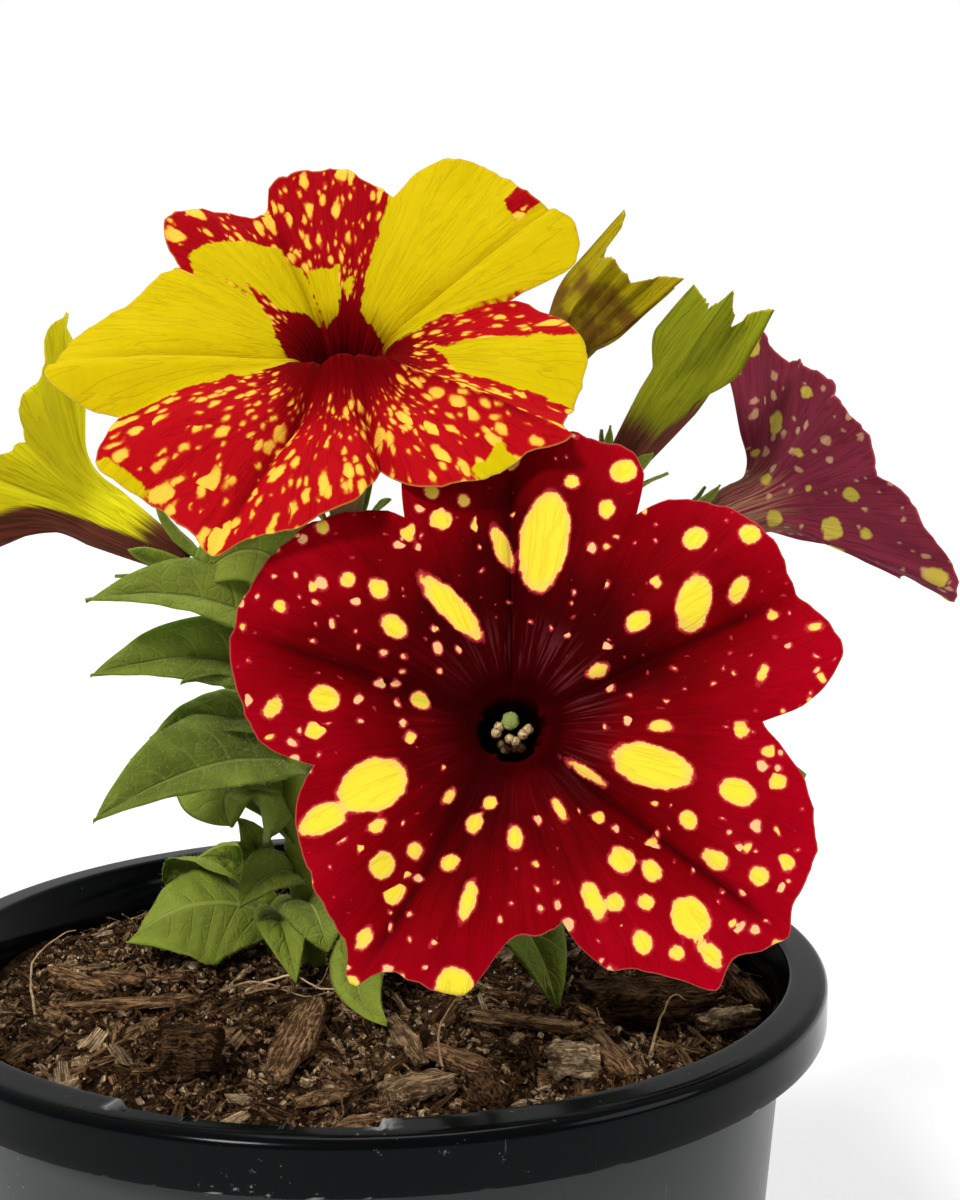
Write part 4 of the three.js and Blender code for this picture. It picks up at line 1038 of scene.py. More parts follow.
FIBRES = (
    ((-50.6, -8.5, 0), (-52, -4, 6), (-48, 0, 9), (-46.5, 1, 9)),
    ((-24.3, 1.0, 1), (-18, -3, 2.6), (-11, -4.5, 1.2), (-6, -8, 2)),
    ((-22, -5, 1), (-14, -5.5, 2.8), (-9, -2.5, 1.6), (-7, 2, 3)),
    ((-20, -2, 1.2), (-13, -2, 3.2), (-8, -6, 2.4), (-3, -5, 1)),
    ((9.5, -34, 0), (9, -30, 6), (12.5, -26, 9), (14, -27, 9.6)),
    ((38, -32, 1), (40, -30, 6), (42, -29, 8.4), (43.5, -29, 8)),
)


def soil_height(x, y):
    """Height of the mix's rolling top above the rim, over a place in the pot."""
    rolls = np.sin(x * 0.13 + 1.2) * np.cos(y * 0.11 - 0.4) + 0.5 * np.sin(x * 0.31 - y * 0.27)
    return SOIL["level"] + SOIL["bump"] * rolls


def soil_top(radii, around):
    """Rings of points over the mix's lumpy top."""
    angle = np.linspace(0, 2 * math.pi, around, endpoint=False)
    x = radii[:, None] * np.cos(angle)
    y = radii[:, None] * np.sin(angle)
    flat = np.stack([x, y, np.zeros_like(x)], -1)
    lumps = lumpy(flat, (1.1, 9, 2.0), (0.9, 4, 5.0), (0.5, 1.9, 7.0), (0.28, 0.9, 11.0))
    inward = ease((SOIL["edge"] - radii) / 3)[:, None]
    return np.stack([x, y, soil_height(x, y) + lumps * (0.35 + 0.65 * inward)], -1)


def chip_rings(long, wide, thick, seed, rings=5, around=6, ragged=0.28):
    """Rings of a splintered chip along x, its middle at the origin."""
    angle = np.linspace(0, 2 * math.pi, around, endpoint=False) + 0.5
    t = np.linspace(0, 1, rings)[:, None]
    swell = 0.5 + 0.5 * np.sin(math.pi * (0.08 + 0.84 * t)) ** 0.4
    y = 0.5 * wide * swell * np.sign(np.cos(angle)) * np.abs(np.cos(angle)) ** 0.6
    z = 0.5 * thick * swell * np.sign(np.sin(angle)) * np.abs(np.sin(angle)) ** 0.6
    rows = np.stack([(t - 0.5) * long + 0 * y, y, z], -1)
    ends = np.abs(2 * t - 1) ** 3 * 0.12 * long * rough(rows * (0.2, 1, 1), 0.35 * wide, seed + 50)
    rows = rows + np.stack([ends, 0 * ends, 0 * ends], -1)
    return rows + shaken(rows, 0.22 * long, seed) * ragged * np.array([0.2 * long, wide, 0.8 * thick])


def along_grain(rings):
    """A chip's own lines, so that its finish can follow them."""
    return {f"grain_{axis}": rings[..., k] for k, axis in enumerate("xyz")}


def small_shape(name, rings, material):
    """A small shape at the origin, to be strewn."""
    shape = Shape("grain_x", "grain_y", "grain_z")
    shape.add(rings, **along_grain(rings))
    piece = shape.piece(name, material, 0)
    piece.data.shade_flat()
    return piece


def chosen_chips(material):
    """The chips, clods and fibres that stand out, each where it lies."""
    shape = Shape("tone", "grain_x", "grain_y", "grain_z")
    for index, (start, end, wide, thick, tone) in enumerate(CHIPS.values()):
        start, end = np.array(start, float), np.array(end, float)
        size = np.linalg.norm(end - start)
        (ahead_x, ahead_y), middle = (end - start) / size, (start + end) / 2
        rings = chip_rings(size, wide, thick, 20.0 + index, 30, 26, 0.22)
        places = rings + 0.34 * shaken(rings * (0.16, 1, 1), 0.8, 40.0 + index)
        x = middle[0] + places[..., 0] * ahead_x - places[..., 1] * ahead_y
        y = middle[1] + places[..., 0] * ahead_y + places[..., 1] * ahead_x
        z = soil_height(*middle) + 0.28 * thick + 0.9 + places[..., 2]
        shape.add(np.stack([x, y, z], -1), tone=tone, **along_grain(rings))
    for index, points in enumerate(FIBRES):
        base = np.array(points, float)
        base[:, 2] += soil_height(base[:, 0], base[:, 1])
        line = Way(base).at(np.linspace(0, 1, 26))
        line = line + 0.25 * shaken(line, 1.8, index)
        shape.add(rod(line, np.linspace(0.24, 0.08, 26), 6), tone=0.93, grain_y=index)
    return shape.piece("chosen_chips", material)


def strewing_ground():
    """An open sheet over the mix's top, to strew on."""
    count, around = 60, 150
    points = soil_top(np.linspace(0.5, SOIL["strewn"], count), around).reshape(-1, 3) * MM + (0, 0, RIM)
    mesh = bpy.data.meshes.new("strewing_ground")
    mesh.from_pydata(points.tolist(), [], ring_quads(count, around)[:, ::-1].tolist())
    return mesh


def build_mix(settings):
    """The potting mix: its lumpy body, and the chips, crumbs, fibres and grit strewn over it."""
    radii = np.concatenate([np.linspace(0.4, 20, 40), np.linspace(20.5, SOIL["edge"], 84)])
    top = soil_top(radii, 330)
    narrowed = SOIL["foot"] / SOIL["edge"]
    foot = top[-1] * (narrowed, narrowed, 0) + (0, 0, SOIL["bottom"] - RIM / MM)
    down = np.array([0.33, 0.67, 1])[:, None, None]
    side = top[-1] * (1 - down) + foot * down
    bed = Shape()
    bed.add(np.concatenate([top, side, (foot * (0.02, 0.02, 1))[None]]))
    in_place(bed.piece("potting_mix_bed", moist_peat(settings)), "bark_mix", "potting_mix")

    finish = bark(settings)
    in_place(chosen_chips(finish), "bark_mix", "potting_mix")
    sizes = ((1.8, 0.9), (2.9, 0.8), (1.1, 0.8), (3.6, 1.3), (2.0, 1.5), (0.8, 0.6))
    chips = [small_shape(f"chip_{k}", chip_rings(7, *size, 60.0 + 7 * k), finish)
             for k, size in enumerate(sizes)]
    crumbs = [small_shape(f"crumb_{k}", chip_rings(1.2, 1.0, 0.8, 90.0 + 5 * k, 2, 5, 0.35), finish)
              for k in range(4)]
    threads = []
    for k in range(4):
        turns = ((-4, 0, 0), (-1.5, 1.2 + 0.3 * k, 0.5), (1.2, 0.4 * k - 1, 1.0), (4, 0.5, 0.3))
        threads.append(small_shape(f"fibre_{k}", rod(Way(turns).at(np.linspace(0, 1, 9)), 0.09, 3), finish))
    grain = [small_shape("grain", chip_rings(0.8, 0.7, 0.6, 77.0, 2, 5, 0.3), finish)]
    kinds = (  # name, shapes, finish, how many, least and greatest size, tilt
        ("bark_chips", chips, finish, settings.chips, 0.22, 1.15, 0.6),
        ("peat_crumbs", crumbs, finish, settings.crumbs, 0.3, 1.5, 1.2),
        ("root_fibres", threads, finish, settings.fibres, 0.5, 1.5, 0.5),
        ("pale_grit", grain, white_grit(), settings.specks, 0.2, 0.7, 1.2),
    )
    for seed, (name, shapes, finish, count, least, greatest, tilt) in enumerate(kinds):
        inputs = {"Seed": 5 + seed, "Tilt": tilt, "Per Square Metre": count / DECIMETRE ** 2,
                  "Smallest": least, "Largest": greatest}
        piece = strewn(name, strewing_ground(), shapes, finish, **inputs)
        in_place(piece, "bark_mix", "potting_mix")


# ---------------------------------------------------------------------------
# Blooms
# ---------------------------------------------------------------------------

TUBE = {"base": 1.6, "mouth": 4.4, "slope": 5.0}
CALYX = {"cup": 3.4, "depth": 3.6, "foot": 1.3, "neck": 3.0, "stalk": 1.2, "sepals": 5, "sepal": 11.0,
         "width": 3.2, "root": 1.2, "lean": 9.0, "spread": 14.0}
STAMENS = {"filament": 0.3, "anther": 0.95, "stigma": 1.15, "style": (-0.2, 1.0, 1.0)}
ANTHERS = (  # how far to the right and up from the bloom's axis, and above its mouth
    (-1.8, -0.2, 0.6), (0.2, -1.4, -0.4), (1.8, -0.4, 0.6), (-0.9, -2.1, -4.0), (1.1, -2.2, -4.5),
)


def lobe(mid, slope, curl, rib, edge):
    """One lobe: its midrib's direction in degrees, its slope from the bloom's axis, how much further
    it curls back, its midrib's groove, and its outline as pairs of a direction and a reach."""
    return {"mid": mid, "slope": slope, "curl": curl, "rib": rib, "edge": edge}


POINTED = (  # shares of a pointed lobe's width, and how far its margin has grown there
    (0, 0), (0.16, 0.3), (0.32, 0.55), (0.44, 0.82), (0.5, 1.0), (0.56, 0.82), (0.68, 0.55), (0.84, 0.3),
)


def pointed_lobes(start, slopes, curl, rib, reaches, clefts):
    """Like lobes that come to a point, each with a reach and, before it, a cleft of its own."""
    width = 360 / len(reaches)
    lobes = []
    for index, (slope, reach) in enumerate(zip(slopes, reaches)):
        first = start + width * index
        edge = []
        for share, grown in POINTED:
            cleft = clefts[index if share < 0.5 else (index + 1) % len(clefts)]
            edge.append((first + width * share, cleft + grown * (reach - cleft)))
        lobes.append(lobe(first + width / 2, slope, curl, rib, edge))
    return lobes


FRONT_LOBES = [
    lobe(25, 72, 14, 1.4, [(0.5, 31), (4, 36), (13, 41.5), (26, 39.5), (43, 39.5), (57, 34)]),
    lobe(91, 76, 34, 1.6, [(60, 31), (63, 36), (74, 39), (91, 38), (106, 37), (115, 34)]),
    lobe(162, 74, 14, 1.6, [(118.5, 30), (123, 33), (137, 36), (152, 37.5), (162, 37.5), (176, 34.5),
                            (186, 31)]),
    lobe(239, 72, 10, 1.4, [(192.5, 26), (200, 29), (213, 31), (228, 33), (234, 34.6), (237, 37.0),
                            (239, 37.2), (241, 35), (248, 33.6), (254.5, 33.8), (259, 33.6), (264, 30),
                            (269, 26.6), (279, 26.2)]),
    lobe(322, 72, 10, 1.4, [(283.5, 25), (286, 28.6), (290, 31.5), (297, 33.6), (303, 37), (306.5, 39.6),
                            (309, 39.4), (313, 38.6), (318, 40.6), (322, 41.6), (325, 40.4), (336, 39.6),
                            (347, 37), (355, 33)]),
]
TOP_LOBES = [
    lobe(33, 60, 12, 1.6, [(16, 24.5), (18, 33), (21, 36), (25, 37.5), (33, 36), (46, 35.5), (60, 34),
                           (68, 31)]),
    lobe(117, 60, 14, 1.6, [(74, 26.5), (85, 28), (96, 30), (105, 30), (114, 28.5), (117, 26), (132, 28),
                            (146, 31), (151, 29.5)]),
    lobe(194, 66, 26, 1.2, [(156.5, 25.5), (175, 29.5), (184, 34), (192, 37.5), (198, 39.5), (203, 36.5)]),
    lobe(244.5, 78, 28, 2.4, [(208.5, 32), (213.5, 35), (217, 37.4), (220.5, 37.6), (228, 36.2),
                              (238, 35.6), (244.5, 37.2), (246.5, 36.8), (250, 34), (258, 31.5),
                              (268, 28.5), (277, 26)]),
    lobe(326, 76, 20, -1.8, [(284.5, 19.5), (288, 24), (302, 29), (310, 30), (320, 31.5), (324, 34),
                             (326, 35), (328, 33.2), (332, 32.6), (352, 33), (364, 30)]),
]
LEFT_LOBES = [
    lobe(-8, 40, 8, 1.0, [(-54, 19), (-40, 24), (-20, 25), (-5, 21), (6, 17.5)]),
    lobe(66, 53, 11, 1.0, [(16, 17.5), (26, 20.3), (41, 22.5), (50, 24.7), (59, 27.2), (66, 28.6),
                           (76, 28.6), (84, 27.4), (92, 24), (100, 21)]),
    lobe(144, 60, 8, 1.0, [(108, 20), (120, 26), (144, 27), (168, 26)]),
    lobe(216, 56, 8, 1.0, [(180, 20), (196, 29), (216, 31), (238, 29)]),
    lobe(288, 50, 8, 1.0, [(252, 20), (268, 28), (288, 30), (300, 26)]),
]
RIGHT_LOBES = [
    lobe(0, 62, 4, 1.0, [(-36, 21), (-20, 27), (0, 28), (20, 27)]),
    lobe(72, 74, 4, 1.2, [(36, 22), (52, 27.5), (72, 31), (92, 28.5)]),
    lobe(144, 60, 4, 1.2, [(108, 24.5), (126, 26), (144, 26), (162, 26)]),
    lobe(222, 55, 4, 1.2, [(180, 25.5), (200, 31), (218, 36), (230, 36.5), (242, 33)]),
    lobe(288, 27, 4, 1.0, [(256, 28), (270, 30), (288, 29), (306, 26)]),
]
OPENING_LOBES = pointed_lobes(-18, (10, -1, 10, 6, 6), 4, 1.6, (18, 25, 16.5, 22.5, 23),
                              (14, 17, 15.5, 15.5, 16))
FLUTED_LOBES = pointed_lobes(-18, (0, -5, 0, -9, -9), 2, 2.4, (16.5, 16.5, 17.5, 19.8, 18.8),
                             (12, 13, 14.5, 14, 15))

# Spots on the crimson bloom: direction in degrees, reach, length along the petal, width, and how
# far the spot is turned from the petal's own line.
FRONT_SPOTS = (
    (81, 24, 13, 6.3, 0), (94, 23, 5.8, 2.4, 20), (119, 17.5, 10.5, 3.4, 17), (34, 27.5, 7.3, 4.4, 45),
    (343, 18.5, 10, 5.6, 0), (204, 20, 8.7, 6.6, 0), (217, 22, 2.4, 1.8, 0), (207, 27, 6, 3.8, 0),
    (257, 33, 5, 5, 0), (312, 32, 5.2, 4.8, 0), (343, 29, 4.4, 3.4, 0), (173, 24.5, 3.7, 3.4, 0),
    (142, 20, 3.4, 2.7, 0), (136, 24.5, 2.8, 2.3, 0), (140, 28, 2, 2, 0), (31, 33, 3.6, 2.2, 30),
    (46, 33, 3.2, 2.8, 0), (227, 24.5, 3.3, 3.3, 0), (232, 20.5, 2.2, 2.2, 0), (308, 22, 3.6, 3.2, 0),
    (313, 25, 3, 2.6, 0), (294, 24.3, 4.6, 2.4, 0), (255, 23.3, 4.8, 2.2, 0), (270, 15, 2.8, 2.2, 0),
    (248, 14, 2.6, 2.2, 0), (253, 11, 2, 2, 0), (166, 12.6, 2.5, 2.5, 0), (40, 21, 3.2, 2.6, 0),
    (33, 13.3, 2.8, 2, 0), (300, 31, 2.8, 2.4, 0), (326, 30, 3.2, 2.4, 0), (328, 35, 2.4, 2.4, 0),
    (39, 38, 3, 2.6, 0), (67, 35.5, 3.4, 3.4, 0), (359, 19, 2.8, 1.8, 0), (331, 25, 2.2, 2.2, 0),
    (245, 19.5, 2.2, 2.2, 0), (327, 11, 5.5, 1.1, 0), (299, 25.5, 2.4, 2.4, 0), (306, 27.5, 2, 2, 0),
    (310, 36.5, 3.8, 2.4, 0), (235, 32, 2.6, 1.6, 0), (177, 30.5, 3.2, 1.8, 60), (298, 13, 2.6, 1.3, 0),
    (67, 30, 2.4, 2.2, 0), (77, 32, 2.2, 2.2, 0), (103, 29.5, 1.8, 1.8, 0), (110, 31.5, 2, 2, 0),
    (18, 39.5, 2.4, 1.4, 0), (11, 31.5, 2.6, 1.2, 60), (228, 12.7, 2.2, 1.4, 0), (305, 34, 2, 2, 0),
)

# Yellow parts of the two-coloured bloom: from one direction to another, in degrees, with the
# nearest and the farthest reach at each of the two; 60 lies past every margin.
TOP_YELLOWS = (
    (94, 113, 9, 6.5, 15, 15.5), (83, 90, 11, 11, 14, 13.5), (113, 120, 6.5, 7.5, 15.5, 19),
    (119, 154, 8, 13, 19.5, 26), (153.5, 209, 13, 5.5, 60, 60), (16, 75.5, 5, 9, 60, 60),
    (338, 357, 17, 13, 60, 60), (218, 228.5, 36.6, 34.6, 60, 60), (306, 318, 27.8, 27.5, 60, 60),
)
TOP_REDS = ((35.5, 41.5, 31.5, 32, 60, 60), (151, 158, 26.5, 23, 60, 60), (148, 156, 0, 0, 18, 13))


def flower(mouth, axis, lobes, throat, ruffle, tube, start, by, grid=(44, 40), stamens=True, lip=(0, 0, 1)):
    """A bloom: its mouth, axis and lobes, how far out its throat is rolled, its ruffle, the length of
    its tube, where on its stem its stalk starts and what it passes by, the lines of a lobe and the
    rows of its mesh, and a lip over the throat: its direction in degrees, its rise and its spread."""
    return {"mouth": mouth, "axis": axis, "lobes": lobes, "throat": throat, "ruffle": ruffle,
            "tube": tube, "from": start, "by": by, "grid": grid, "stamens": stamens, "lip": lip}


BLOOMS = {
    "front_bloom": flower((17.5, -39, 39), (-0.06, -0.97, 0.21), FRONT_LOBES, 13, 0.9, 30, 1, (16.5, 6, 19),
                          (66, 60), lip=(272, 1.6, 40)),
    "top_bloom": flower((-4.5, -24, 83), (0, -0.79, 0.61), TOP_LOBES, 13, 0.8, 28, 1, (-8, 3, 51),
                        (66, 60), lip=(275, 8.0, 66)),
    "left_bloom": flower((-41, -5, 66), (-0.86, -0.1, 0.5), LEFT_LOBES, 15, 0.8, 14, 0.9, (-17, 3, 46)),
    "right_bloom": flower((62.5, 17, 68.5), (0.93, 0.06, 0.34), RIGHT_LOBES, 11, 0.9, 11, 1, (43, 14, 54)),
    "opening_bud": flower((30.5, 17, 95.5), (0.66, -0.04, 0.75), OPENING_LOBES, 8, 0.2, 12, 0.96,
                          (22, 14, 66), (36, 34), stamens=False),
    "fluted_bud": flower((46.7, 2, 86.2), (0.57, 0, 0.82), FLUTED_LOBES, 8, 0.2, 18, 1, (31, 8, 64),
                         (36, 34), stamens=False),
}


def bloom_frame(bloom):
    """The bloom's axis, its up and right directions, and its mouth."""
    axis = unit(bloom["axis"])
    up = unit(np.array([0, 0, 1.0]) - axis * axis[2])
    return axis, up, np.cross(up, axis), np.array(bloom["mouth"], float)


def outward_at(bloom, angles):
    """Directions away from the bloom's axis at angles round it."""
    _, up, right, _ = bloom_frame(bloom)
    angles = np.asarray(angles)[..., None]
    return np.cos(angles) * right + np.sin(angles) * up


def lobe_end(lobes, index):
    """The notch that ends a lobe, as a direction and a reach: the next lobe's first."""
    last = index == len(lobes) - 1
    direction, reach = lobes[0 if last else index + 1]["edge"][0]
    return direction + (360 if last else 0), reach


def reach_to(lobes, index, direction):
    """Reach from the mouth to the margin in a direction, on a smooth line through the lobe's edge."""
    edge = [*lobes[index]["edge"], lobe_end(lobes, index)]
    k = 0
    while k < len(edge) - 2 and direction > edge[k + 1][0]:
        k += 1

    def rise(a, b):
        return (b[1] - a[1]) / (b[0] - a[0])

    start, end = edge[k], edge[k + 1]
    here = rise(start, end)
    before = (rise(edge[k - 1], start) + here) / 2 if k > 0 else here
    after = (rise(end, edge[k + 2]) + here) / 2 if k < len(edge) - 2 else here
    span = end[0] - start[0]
    t = (direction - start[0]) / span
    level = start[1] * (1 - ease(t)) + end[1] * ease(t)
    return level + span * (before * t * (1 - t) ** 2 - after * t * t * (1 - t))


def petal_columns(bloom):
    """For each line from throat to margin: its angle, reach, slope, curl, rib, share and lobe."""
    lobes = bloom["lobes"]
    per_lobe = bloom["grid"][0]
    lines = []
    for index, own in enumerate(lobes):
        start, end = own["edge"][0][0], lobe_end(lobes, index)[0]
        for share in np.arange(per_lobe) / per_lobe:
            if share < 0.5:
                direction = start + 2 * share * (own["mid"] - start)
            else:
                direction = own["mid"] + (2 * share - 1) * (end - own["mid"])
            other = lobes[index - 1] if share < 0.5 else lobes[(index + 1) % len(lobes)]
            away = ease(abs(share - 0.5) * 2) / 2
            slope, curl = (own[key] * (1 - away) + other[key] * away for key in ("slope", "curl"))
            reach = reach_to(lobes, index, direction)
            lines.append((math.radians(direction), reach, slope, curl, own["rib"], share, index))
    return np.array(lines).T


def spot_field(angles, arcs, spots):
    """Distance into the nearest spot, in millimetres, over the petals' flat map."""
    x, y = arcs * np.cos(angles), arcs * np.sin(angles)
    field = np.full(x.shape, UNMARKED)
    for direction, reach, long, wide, turn in spots:
        centre = math.radians(direction)
        lean = centre + math.radians(turn)
        dx = x - reach * math.cos(centre)
        dy = y - reach * math.sin(centre)
        along = dx * math.cos(lean) + dy * math.sin(lean)
        across = dy * math.cos(lean) - dx * math.sin(lean)
        far = np.hypot(along / (long / 2), across / (wide / 2))
        field = np.maximum(field, (1 - far) * min(long, wide) / 2)
    return field


def sector_field(angles, arcs, yellows, reds):
    """Distance into the nearest yellow part, less the red ones, in millimetres."""
    degrees = np.degrees(angles)

    def inside(sector):
        start, end, near_a, near_b, far_a, far_b = sector
        turned = (degrees - start + 90) % 360 - 90
        t = np.clip(turned / (end - start), 0, 1)
        scale = np.maximum(arcs, 3) * math.pi / 180
        sides = np.minimum(turned, end - start - turned) * scale
        ends = np.minimum(arcs - (near_a + (near_b - near_a) * t), far_a + (far_b - far_a) * t - arcs)
        return np.minimum(sides, ends)

    yellow = np.max([inside(sector) for sector in yellows], axis=0)
    red = np.max([inside(sector) for sector in reds], axis=0)
    return np.minimum(yellow, -red)


def marking_field(name, angles, arcs):
    """The placed markings' field over a bloom's flat map; far below zero where it has none."""
    if name == "front_bloom":
        return spot_field(angles, arcs, FRONT_SPOTS)
    if name == "top_bloom":
        return sector_field(angles, arcs, TOP_YELLOWS, TOP_REDS)
    return np.full(arcs.shape, UNMARKED)


CRUMPLES = ((0.55, 7, 3.0, 1), (0.5, 3.4, 6.0, 3), (0.22, 1.5, 9.0, 8))  # height, size, seed, growth


def petal_lift(ruffle, angle, arc, part, rib, share, index):
    """How far the petals stand off their smooth sheet: midribs, ridges between lobes and ruffles."""
    fold = np.abs(share - 0.5)
    groove = rib * (0.4 * bell(fold / 0.11) + 1.0 * np.exp(-fold / 0.055))
    ridge = 0.6 * bell(np.minimum(share, 1 - share) / 0.12)
    puff = 2.0 * np.sin(2 * math.pi * share) ** 2 * part * (1.2 - part)
    wave = ruffle * np.sin(13 * angle + 0.7 * index) * part ** 3
    flat = np.stack([arc * np.cos(angle), arc * np.sin(angle), 0 * arc], -1)
    crumple = sum(high * rough(flat, size, seed) * part ** power for high, size, seed, power in CRUMPLES)
    return ease(part / 0.45) * (ridge - groove) + wave + ruffle * (crumple + puff)


def corolla(name, bloom, thickness, material):
    """A corolla: a funnel of thin petals joined side by side, closed at its base."""
    angle, reach, slope, curl, rib, share, index = (row[None, :] for row in petal_columns(bloom))
    rows = bloom["grid"][1]
    axis, _, _, mouth = bloom_frame(bloom)
    outward = outward_at(bloom, angle)
    circle = np.stack([30 * np.cos(angle), 30 * np.sin(angle), 0 * angle], -1)
    reach = reach + 0.45 * rough(circle, 2.6, 4.0) + 0.3 * rough(circle, 1.1, 8.0)
    part = np.linspace(0, 1, rows)[:, None] ** 0.9
    arc = part * reach
    throat = np.minimum(bloom["throat"], 0.5 * reach)
    rolled = np.maximum(arc - throat, 0) / (reach - throat)
    lean = np.radians(TUBE["slope"] + (slope - TUBE["slope"]) * ease(arc / throat) + curl * rolled)
    step, middle = np.diff(arc, axis=0), (lean[1:] + lean[:-1]) / 2
    radius = TUBE["mouth"] + np.concatenate([0 * angle, np.cumsum(step * np.sin(middle), 0)])
    height = np.concatenate([0 * angle, np.cumsum(step * np.cos(middle), 0)])
    fold = np.abs(share - 0.5)
    lift = petal_lift(bloom["ruffle"], angle, arc, part, rib, share, index)
    toward, rise, spread = bloom["lip"]
    aside = (np.degrees(angle) - toward + 180) % 360 - 180
    lip = rise * bell(aside / spread) * bell((arc - 5.5) / 4.5)
    radius = radius - 0.9 * np.exp(-fold / 0.1) * bell((arc - 1) / 4)

    down = np.linspace(0, 1, 12, endpoint=False)[:, None]
    tube_radius = TUBE["base"] + (TUBE["mouth"] - TUBE["base"]) * down + 0 * angle
    tube_radius = tube_radius * (1 + 0.035 * np.cos(10 * angle) * np.sin(math.pi * down))
    tube_height = -bloom["tube"] * (1 - down) + 0 * angle
    none = 0 * tube_radius
    joined = ((tube_radius, radius), (tube_height, height), (none + math.radians(TUBE["slope"]), lean),
              (none, lift), (none, lip), (tube_height, arc), (none, part + 0 * angle))
    radius, height, lean, lift, lip, arc, part = (np.concatenate(pair) for pair in joined)
    face = axis * np.sin(lean)[..., None] - outward * np.cos(lean)[..., None]
    sheet = mouth + axis * height[..., None] + outward * radius[..., None]
    sheet = sheet + face * (lift - BLADE / 2)[..., None] + axis * lip[..., None]
    half = (thickness / MM / 2 * (1 - 0.7 * part ** 6))[..., None]
    rings = np.concatenate([sheet + face * half, (sheet - face * half)[::-1]])
    arc = np.concatenate([arc, arc[::-1]])
    angle = angle + 0 * arc
    outside = np.repeat([0.0, 1.0], len(arc) // 2)[:, None] + 0 * arc
    shape = Shape("cos", "sin", "arc", "edge", "outside", "crease", "middle", "blotch")
    # painted shade: a thin dark line along each lobe's midrib crease, where the fold's shade falls
    crease_shade_mask = bell(fold / 0.018) * ease((arc - 5) / 6) * ease((reach - arc) / 9)
    shape.add(rings, cos=np.cos(angle), sin=np.sin(angle), arc=arc, edge=reach - arc, outside=outside,
              # middle: how near each lobe's midrib is, darkened as painted shade on the crimson bloom
              crease=crease_shade_mask, middle=bell(fold / 0.2) + 0 * arc,
              blotch=marking_field(name, angle, np.maximum(arc, 0)))
    return shape.piece(name + "_petals", material)


def build_blooms(settings):
    """Every corolla, with the petals' own finish."""
    greens = {
        "left_bloom": green_petal("left_petal", settings.green, (-5, 285, 24), 0.0),
        "opening_bud": green_petal("opening_petal", settings.olive, (-9, 250, 8), 0.85),
        "fluted_bud": green_petal("fluted_petal", settings.fresh, (-6, 270, 9), 0.1),
    }
    finishes = {name: (finish, "green_yellow_petal") for name, finish in greens.items()}
    finishes["front_bloom"] = crimson_petal(settings), "crimson_petal"
    finishes["top_bloom"] = yellow_petal(settings), "yellow_petal"
    finishes["right_bloom"] = maroon_petal(settings), "maroon_petal"
    for name, bloom in BLOOMS.items():
        finish, slot = finishes[name]
        in_place(corolla(name, bloom, settings.thickness, finish), slot, name + "_corolla")


def knob(centre, axis, radius, stretch, seed):
    """Rings of a small lumpy ball, drawn out along an axis."""
    turn = np.radians(np.linspace(8, 172, 10))
    line = centre - axis * (radius * stretch * np.cos(turn))[:, None]
    rings = rod(line, radius * np.sin(turn), 14)
    lumps = 0.22 * radius * rough(rings, 0.5 * radius, seed + 3.0)
    return rings + unit(rings - centre) * lumps[..., None]


def build_stamens():
    """Filaments with split anthers round a style and its stigma, in each open bloom."""
    finish = stamen_finish()
    for name, bloom in BLOOMS.items():
        if not bloom["stamens"]:
            continue
        axis, up, right, mouth = bloom_frame(bloom)
        base = mouth - axis * (bloom["tube"] - SEAT)
        shape = Shape("anther", "stigma")
        for index, (x, y, rise) in enumerate((*ANTHERS, STAMENS["style"])):
            outward, long = right * x + up * y, bloom["tube"] + rise - SEAT
            line = [base + axis * height + outward * share
                    for height, share in ((0.4, 0.25), (long / 2, 0.8), (long, 1.0))]
            shape.add(rod(Way(line).at(np.linspace(0, 1, 16)), STAMENS["filament"], 8))
            if index == len(ANTHERS):
                shape.add(knob(line[-1], axis, STAMENS["stigma"], 0.75, 0.0), stigma=1.0)
                continue
            side = unit(np.cross(axis, outward) + 0.6 * outward)
            for half in (-0.45, 0.45):
                centre = line[-1] + side * half * STAMENS["anther"]
                shape.add(knob(centre, axis, 0.72 * STAMENS["anther"], 1.5, index + half), anther=1.0)
        in_place(shape.piece(name + "_anthers", finish), "stamen", name + "_stamens")


# ---------------------------------------------------------------------------
# Leafy stems
# ---------------------------------------------------------------------------

def leaf(at, tip, width, bow, face=(0, 0, 1), fold=24.0, young=0.0):
    """A leaf's place on its stem, its tip, width, bow, the way it faces, its fold and its tone."""
    return {"at": at, "tip": tip, "width": width, "bow": bow, "face": face, "fold": fold, "young": young}


